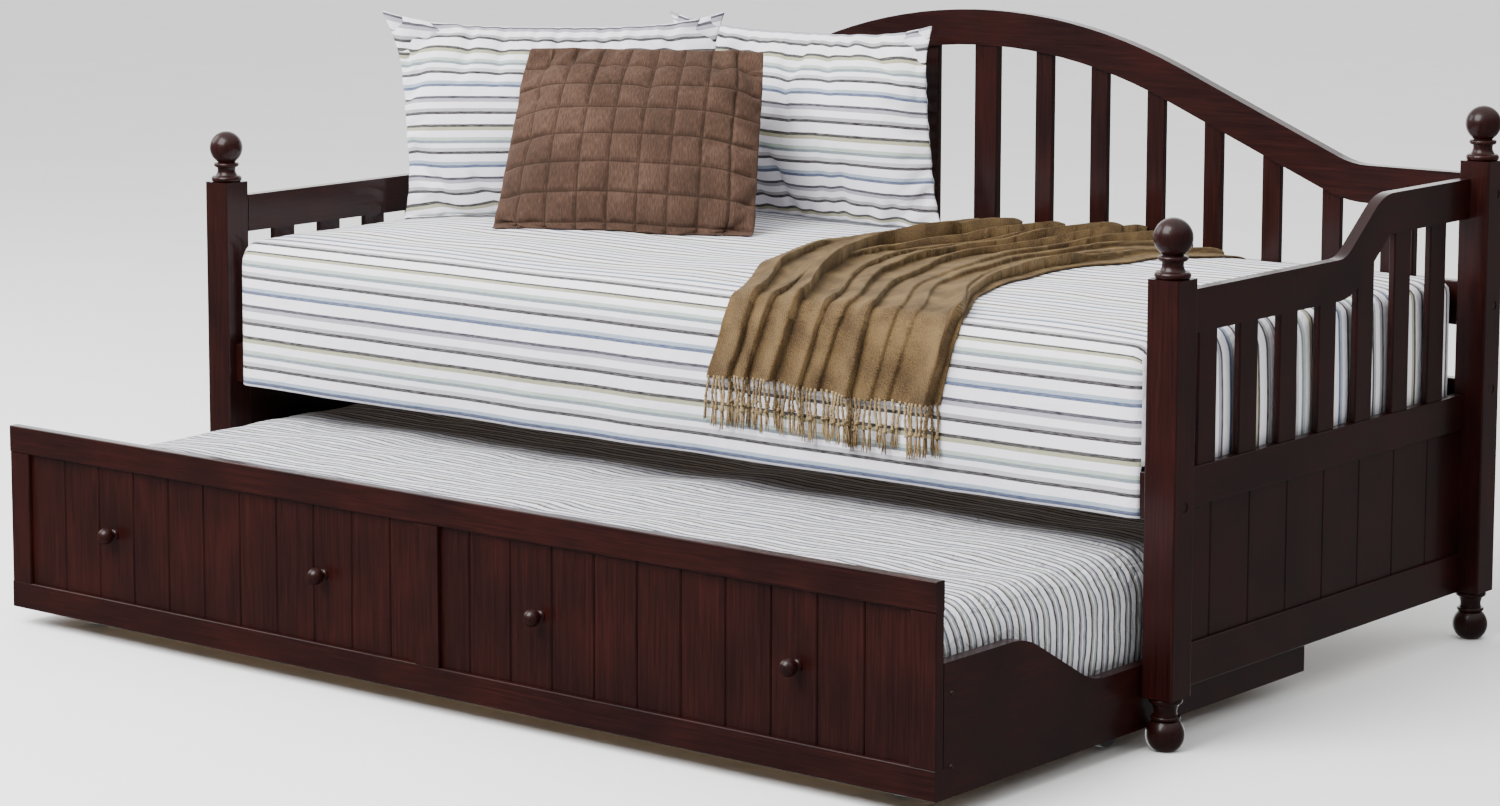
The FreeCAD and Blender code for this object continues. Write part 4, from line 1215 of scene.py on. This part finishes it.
@dataclass
class Throw:
    """A blanket laid in folds from the front skirt to the bed's back.

    Attributes:
        block: the covered mattress that it lies on.
        hem: the height of the cloth's front edge, above its fringe.
        folds: how many folds run along it.
        seed: picks the folds.
        rows: mesh points along it.
        columns: mesh points across it.
    """

    block: FittedBlock
    hem: float = 0.485
    folds: int = 11
    seed: int = 12
    rows: int = 230
    columns: int = 190

    def edges(self, run: Points) -> tuple[Points, Points]:
        """The left and right edges in X, along the cloth's run from the front hem.

        Args:
            run: distance from the hem over the front edge to the back, in metres.

        Returns:
            The X of the left edge and of the right edge.
        """
        fall = self.block.high.z - self.hem
        left_at = np.array([0, 0.06, fall, 0.20, 0.38, 0.52, 0.63, 0.70, 0.78, 0.88, 1.0, 1.12])
        left = np.array([0.132, 0.160, 0.176, 0.152, 0.044, -0.025, -0.060, -0.074, -0.073, -0.052, -0.056,
                         -0.066])
        right_at = np.array([0, 0.06, fall, 0.17, 0.32, 0.45, 0.63, 0.73, 0.82, 0.92, 1.0, 1.12])
        right = np.array([0.604, 0.620, 0.636, 0.622, 0.534, 0.486, 0.447, 0.453, 0.480, 0.500, 0.540,
                          0.585])

        def smoothed(at: np.ndarray, values: np.ndarray) -> np.ndarray:
            """Reads an edge between its points, with the corners softened.

            Args:
                at: the points' distances from the hem.
                values: their X.

            Returns:
                The X at each distance asked for.
            """
            fine = np.linspace(0, at[-1], 240)
            line = np.interp(fine, at, values)
            kernel = np.hanning(25)
            line = np.convolve(np.pad(line, 12, mode="edge"), kernel / kernel.sum(), mode="valid")
            return np.interp(run, fine, line)

        return smoothed(left_at, left), smoothed(right_at, right)

    def height(self, s: Points, run: Points) -> tuple[Points, Points]:
        """The folds' height and how far each leans over, at points of the cloth.

        Args:
            s: from 0 at the left edge to 1 at the right.
            run: distance from the hem, in metres.

        Returns:
            Height over the bedding and the sideways shift, both in metres.
        """
        pick = np.random.default_rng(self.seed)
        height = np.zeros_like(s)
        for index in range(self.folds):
            centre = (index + 0.5 + pick.uniform(-0.28, 0.28)) / self.folds
            drift = pick.uniform(-0.045, 0.045)
            path = centre + drift * np.sin(3.1 * run + pick.uniform(0, 6))
            path += 0.010 * np.sin(13 * run + pick.uniform(0, 6))
            width = pick.uniform(0.020, 0.034)
            tall = pick.uniform(0.013, 0.023)
            strength = 0.6 + 0.4 * np.sin(2.6 * run * pick.uniform(0.7, 1.6) + pick.uniform(0, 6))
            off = s - path
            wide = np.where(off < 0, width * 1.45, width * 0.55)
            height += tall * (0.3 + 0.7 * strength) * np.exp(-(off / wide) ** 2)
        # It is heaped up towards the bed's back.
        height *= 1 + 1.1 * np.clip((run - 0.75) / 0.35, 0, 1) ** 1.3
        height += 0.0022 * waves(s * 0.5, run * 0.6, self.seed + 3, 6, 0.13)
        # It thins out towards its edges, and over a broader strip where it is heaped.
        tail = np.clip((run - 0.7) / 0.25, 0, 1)
        edge = np.clip(np.minimum(s / (0.035 + 0.03 * tail), (1 - s) / (0.035 + 0.26 * tail)), 0, 1)
        height = height * (0.25 - 0.15 * tail + (0.75 + 0.15 * tail) * edge ** (1 + 0.5 * tail)) + 0.0035
        return height, 0.9 * height * edge

    def cloth(self) -> tuple[bpy.types.Object, Points, tuple[float, float]]:
        """Lays the cloth over the bedding.

        Returns:
            The cloth, the points of its front hem and its flat width and length.
        """
        low, high = self.block.low, self.block.high
        fall = high.z - self.hem
        length = fall + (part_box("throw_blanket")[1].y + 0.006 - low.y)
        run, s = np.meshgrid(np.linspace(0, length, self.rows), np.linspace(0, 1, self.columns),
                             indexing="ij")
        ragged = 0.010 * waves(s[0] * 0.5, s[0] * 0, 5, 5, 0.3)
        left, right = self.edges(run)
        height, lean = self.height(s, run)
        x = left + (right - left) * s + lean
        back = np.maximum(run - fall, 0)
        y = low.y + back
        z = high.z - np.maximum(fall - run, 0)
        z += ragged[None, :] * np.clip(1 - run / 0.12, 0, 1)
        raw = np.stack([x, y, z], axis=-1).reshape(-1, 3)
        base = self.block.shaped(raw).reshape(self.rows, self.columns, 3)
        across = np.gradient(base, axis=1)
        along = np.gradient(base, axis=0)
        normal = np.cross(across, along)
        normal /= np.maximum(np.linalg.norm(normal, axis=-1, keepdims=True), 1e-9)
        points = base + normal * height[..., None]
        step_s = np.linalg.norm(np.diff(points, axis=1), axis=-1)
        step_r = np.linalg.norm(np.diff(points, axis=0), axis=-1)
        wide = np.concatenate([np.zeros((self.rows, 1)), np.cumsum(step_s, axis=1)], axis=1)
        deep = np.concatenate([np.zeros((1, self.columns)), np.cumsum(step_r, axis=0)], axis=0)
        faces = grid_faces(self.rows, self.columns)
        flat = np.stack([wide, deep], axis=-1).reshape(-1, 2)
        uv = [[tuple(flat[i]) for i in face] for face in faces]
        piece = new_mesh("wool_throw", points.reshape(-1, 3), faces, uv)
        flat_size = (float(wide[:, -1].mean()), float(deep[-1, :].mean()))
        thick = piece.modifiers.new("thickness", "SOLIDIFY")
        thick.thickness, thick.offset = 0.0026, 0.0
        bake(piece)
        return piece, points[0], flat_size

    def fringe(self, hem: Points) -> bpy.types.Object:
        """Ties the knotted fringe along the front hem.

        Args:
            hem: points along the cloth's front edge.

        Returns:
            All the tassels as one piece.
        """
        pick = random.Random(31)
        corners: list[Vector] = []
        faces: list[tuple[int, ...]] = []

        def add(path: list[Vector], radii: list[float], sides: int = 5) -> None:
            """Adds one strand.

            Args:
                path: the strand's middle line.
                radii: its radius at each point.
                sides: how many sides it has.
            """
            points, quads = tube(path, radii, sides)
            start = len(corners)
            corners.extend(points)
            faces.extend(tuple(i + start for i in quad) for quad in quads)

        along = np.concatenate([[0], np.cumsum(np.linalg.norm(np.diff(hem, axis=0), axis=1))])
        place = 0.004
        while place < along[-1] - 0.003:
            top = Vector([float(np.interp(place, along, hem[:, axis])) for axis in range(3)])
            length = pick.uniform(0.074, 0.092)
            sway, out = pick.uniform(-0.007, 0.007), pick.uniform(-0.003, 0.001)
            knot = pick.uniform(0.52, 0.66)
            path, radii = [], []
            for step in range(15):
                t = step / 14 * knot
                bend = sway * t + 0.0016 * math.sin(9 * t + place * 90)
                path.append(top + Vector((bend, out * t - 0.0012, 0.004 - length * t)))
                twist = 0.0022 + 0.0005 * math.sin(step * 1.9)
                near = abs(t - knot)
                radii.append(twist + 0.0024 * math.exp(-(near / 0.05) ** 2))
            add(path, radii, 6)
            for strand in range(4):
                angle = 2 * math.pi * strand / 4 + place * 50
                spread = pick.uniform(0.002, 0.0055)
                tail = []
                for step in range(7):
                    t = step / 6
                    tail.append(path[-1] + Vector((spread * t * math.cos(angle) + sway * 0.4 * t,
                                                   0.5 * spread * t * math.sin(angle),
                                                   -length * (1 - knot) * t * pick.uniform(0.93, 1.0))))
                add(tail, [0.0017, 0.0016, 0.0015, 0.0014, 0.0012, 0.0009, 0.0005], 4)
            place += pick.uniform(0.0085, 0.0135)
        return new_mesh("throw_fringe", np.array(corners), faces,
                        [[(corners[i].x, corners[i].z) for i in face] for face in faces])

    def build(self) -> None:
        """Makes the blanket and its fringe."""
        piece, hem, flat_size = self.cloth()
        fringe = self.fringe(hem)
        finish_piece(piece, WOOL, "daybed", "throw_wool", "throw_blanket")
        finish_piece(fringe, FRAYED_WOOL, "daybed", "throw_wool")


# ------------------------------------------------------------------ the trundle

@dataclass
class Trundle:
    """The trundle's mattress and the screws of its front.

    Attributes:
        screw_radius: the radius of a screw's head.
        screw_setback: how far the screws are from the side's front end.
        screw_heights: the height of each screw above the floor, by its name.
        sheet_gap: how far the mattress stays below its solid, for the sheet's crown.
    """

    screw_radius: float = 0.0042
    screw_setback: float = 0.019
    screw_heights: tuple[tuple[str, float], ...] = (("upper", 0.181), ("lower", 0.0745))
    sheet_gap: float = 0.006

    def mattress(self) -> None:
        """Makes the trundle's mattress in its striped sheet."""
        low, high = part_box("mattress_trundle")
        block = FittedBlock(low, high - Vector((0, 0, self.sheet_gap)), cell=0.0125, round_top=0.055,
                            round_side=0.05, crown=0.012, swell=0.006, ripple=0.004, seed=8)
        piece = block.mesh("trundle_mattress_sheeted", list(Side))
        points = coordinates(piece)
        top = np.clip((points[:, 2] - low.z) / (high.z - low.z), 0, 1) ** 2
        points[:, 2] += 0.0035 * top * waves(points[:, 0], points[:, 1], 14, 5, 0.3)
        set_coordinates(piece, points)
        finish_piece(piece, TRUNDLE_COTTON, "trundle", "striped_sheet", "mattress_trundle")

    def screw(self, name: str, at: Vector, sign: int, sides: int = 20) -> None:
        """Makes one pan-head screw's head.

        Args:
            name: the piece's name.
            at: the middle of the head, on the side's face.
            sign: the way that it faces along X.
            sides: how many sides its rim has.
        """
        # The dome from near its middle to its rim, as radius and rise over the face.
        dome = [(0.0016, 0.0021), (0.0031, 0.0015), (self.screw_radius, 0.0003), (self.screw_radius, -0.001)]
        corners, faces = [], []
        for radius, rise in dome:
            for step in range(sides):
                angle = 2 * math.pi * step / sides
                corners.append((at.x + sign * rise, at.y + radius * math.cos(angle),
                                at.z + radius * math.sin(angle)))
        corners.append((at.x + sign * 0.0022, at.y, at.z))
        for ring in range(len(dome) - 1):
            for step in range(sides):
                a, b = ring * sides + step, ring * sides + (step + 1) % sides
                faces.append((a, b, b + sides, a + sides))
        faces += [(len(corners) - 1, (step + 1) % sides, step) for step in range(sides)]
        finish_piece(new_mesh(name, np.array(corners), faces), BRONZED, "trundle", "bolt_steel")

    def screws(self) -> None:
        """Drives two pan-head screws through the front end of each side."""
        for side, sign in (("left", -1), ("right", 1)):
            low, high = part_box(f"trundle_side_{side}")
            face = high.x if sign > 0 else low.x
            for name, height in self.screw_heights:
                at = Vector((face, low.y + self.screw_setback, height))
                self.screw(f"side_screw_{side}_{name}", at, sign)


# ------------------------------------------------------------------ wooden frame and metal

@dataclass
class Carpentry:
    """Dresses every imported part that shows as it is."""

    def finish_of(self, node: str) -> Optional[Finish]:
        """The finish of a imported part, from its name.

        Args:
            node: the part's name.

        Returns:
            Its finish, or nothing for bedding.
        """
        if node.startswith("castor_wheel"):
            return NYLON
        if node == "castor_forks":
            return ZINC
        if node == "frame_bolts":
            return BRONZED
        if node in ("bed_slats", "trundle_deck_slats"):
            return PINE[Grain.ALONG_Y]
        if node.startswith("trundle_bearer"):
            return PINE[Grain.ALONG_X]
        if any(word in node for word in ("mattress", "cover", "pillow", "cushion", "throw")):
            return None
        if node.startswith(("arm_top", "arm_middle", "arm_bottom", "trundle_side")):
            return LACQUER[Grain.ALONG_Y]
        if "rail" in node or "ledge" in node:
            return LACQUER[Grain.ALONG_X]
        return LACQUER[Grain.ALONG_Z]

    def build(self) -> None:
        """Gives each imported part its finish."""
        for name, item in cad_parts.items():
            finish = self.finish_of(name)
            if finish is not None:
                item.data.materials.clear()
                item.data.materials.append(finish.material())


# ------------------------------------------------------------------ studio

@dataclass
class Studio:
    """The pale floor, soft lights and camera.

    Attributes:
        camera_at: the lens's place.
        turn: the camera's turn from +Y, in radians.
        tilt: its tilt below level, in radians.
        lens_mm: focal length on a 36 mm wide frame.
        shift: the lens's shift across and up, in frame widths.
    """

    camera_at: tuple[float, float, float] = (4.05414, -5.31151, 1.50586)
    turn: float = 0.69087
    tilt: float = -0.13125
    lens_mm: float = 92.066
    shift: tuple[float, float] = (0.04667, -0.1)

    def camera(self) -> None:
        """Sets up the camera."""
        data = bpy.data.cameras.new("camera")
        data.sensor_width, data.lens = 36.0, self.lens_mm
        data.shift_x, data.shift_y = self.shift
        data.clip_end = 60.0
        item = bpy.data.objects.new("camera", data)
        item.location = self.camera_at
        item.rotation_euler = (math.pi / 2 + self.tilt, 0.0, self.turn)
        bpy.context.scene.collection.objects.link(item)
        bpy.context.scene.camera = item

    def floor(self) -> None:
        """Lays the pale floor."""
        size, drop = 30.0, 0.0005
        corners = np.array([(-size, -size, -drop), (size, -size, -drop), (size, size, -drop),
                            (-size, size, -drop)])
        item = new_mesh("studio_floor", corners, [(0, 1, 2, 3)])
        item.data.materials.append(PAPER.material())
        # Its bounce still lights the bed, but the lacquer doesn't mirror it.
        item.visible_glossy = False

    def light(self, name: str, at: tuple[float, float, float], aim: tuple[float, float, float], size: float,
              power: float) -> None:
        """Hangs one large soft light.

        Args:
            name: its name.
            at: its place.
            aim: the point it faces.
            size: the side of its square.
            power: in watts.
        """
        data = bpy.data.lights.new(name, "AREA")
        data.size, data.energy = size, power
        item = bpy.data.objects.new(name, data)
        item.location = at
        item.rotation_euler = (Vector(aim) - Vector(at)).to_track_quat("-Z", "Y").to_euler()
        bpy.context.scene.collection.objects.link(item)

    def build(self) -> None:
        """Makes the whole studio."""
        self.camera()
        self.floor()
        self.world()
        self.light("high_front_softbox", at=(-0.6, -4.2, 4.6), aim=(0.0, -0.3, 0.4), size=4.0, power=760)
        self.light("left_softbox", at=(-5.0, -1.6, 3.4), aim=(0.0, -0.2, 0.5), size=3.0, power=160)

    def world(self) -> None:
        """Lights the room behind and over the bed, dimmer in front, so that the lacquer stays dark."""
        world = bpy.data.worlds.new("studio")
        world.use_nodes = True
        tree = world.node_tree
        background = tree.nodes["Background"]
        place = add_node(tree, "ShaderNodeTexCoord")
        behind = add_node(tree, "ShaderNodeVectorMath", {0: place.outputs["Generated"],
                                                         1: (-0.64, 0.76, 0.0)}, operation="DOT_PRODUCT")
        wall = add_node(tree, "ShaderNodeMapRange", {"Value": behind.outputs["Value"], "From Min": 0.7,
                                                     "From Max": 0.93, "To Min": 0.28, "To Max": 3.4})
        parts = add_node(tree, "ShaderNodeSeparateXYZ", {"Vector": place.outputs["Generated"]})
        ceiling = add_node(tree, "ShaderNodeMapRange", {"Value": parts.outputs["Z"], "From Min": 0.35,
                                                        "From Max": 0.9, "To Min": 0.28, "To Max": 1.8})
        both = add_node(tree, "ShaderNodeMath", {0: wall.outputs["Result"], 1: ceiling.outputs["Result"]},
                        operation="MAXIMUM")
        feed(tree, background, {"Strength": both.outputs["Value"], "Color": linear("#ffffff")})
        bpy.context.scene.world = world


def main() -> None:
    """Builds the daybed's looks in order."""
    logging.basicConfig(level=logging.INFO, format="%(name)s: %(message)s")
    Carpentry().build()
    bedding = Bedding()
    bedding.mattress()
    bedding.cover()
    bedding.pillows()
    Throw(bedding.block).build()
    trundle = Trundle()
    trundle.mattress()
    trundle.screws()
    Studio().build()


if __name__ == "__main__":
    main()
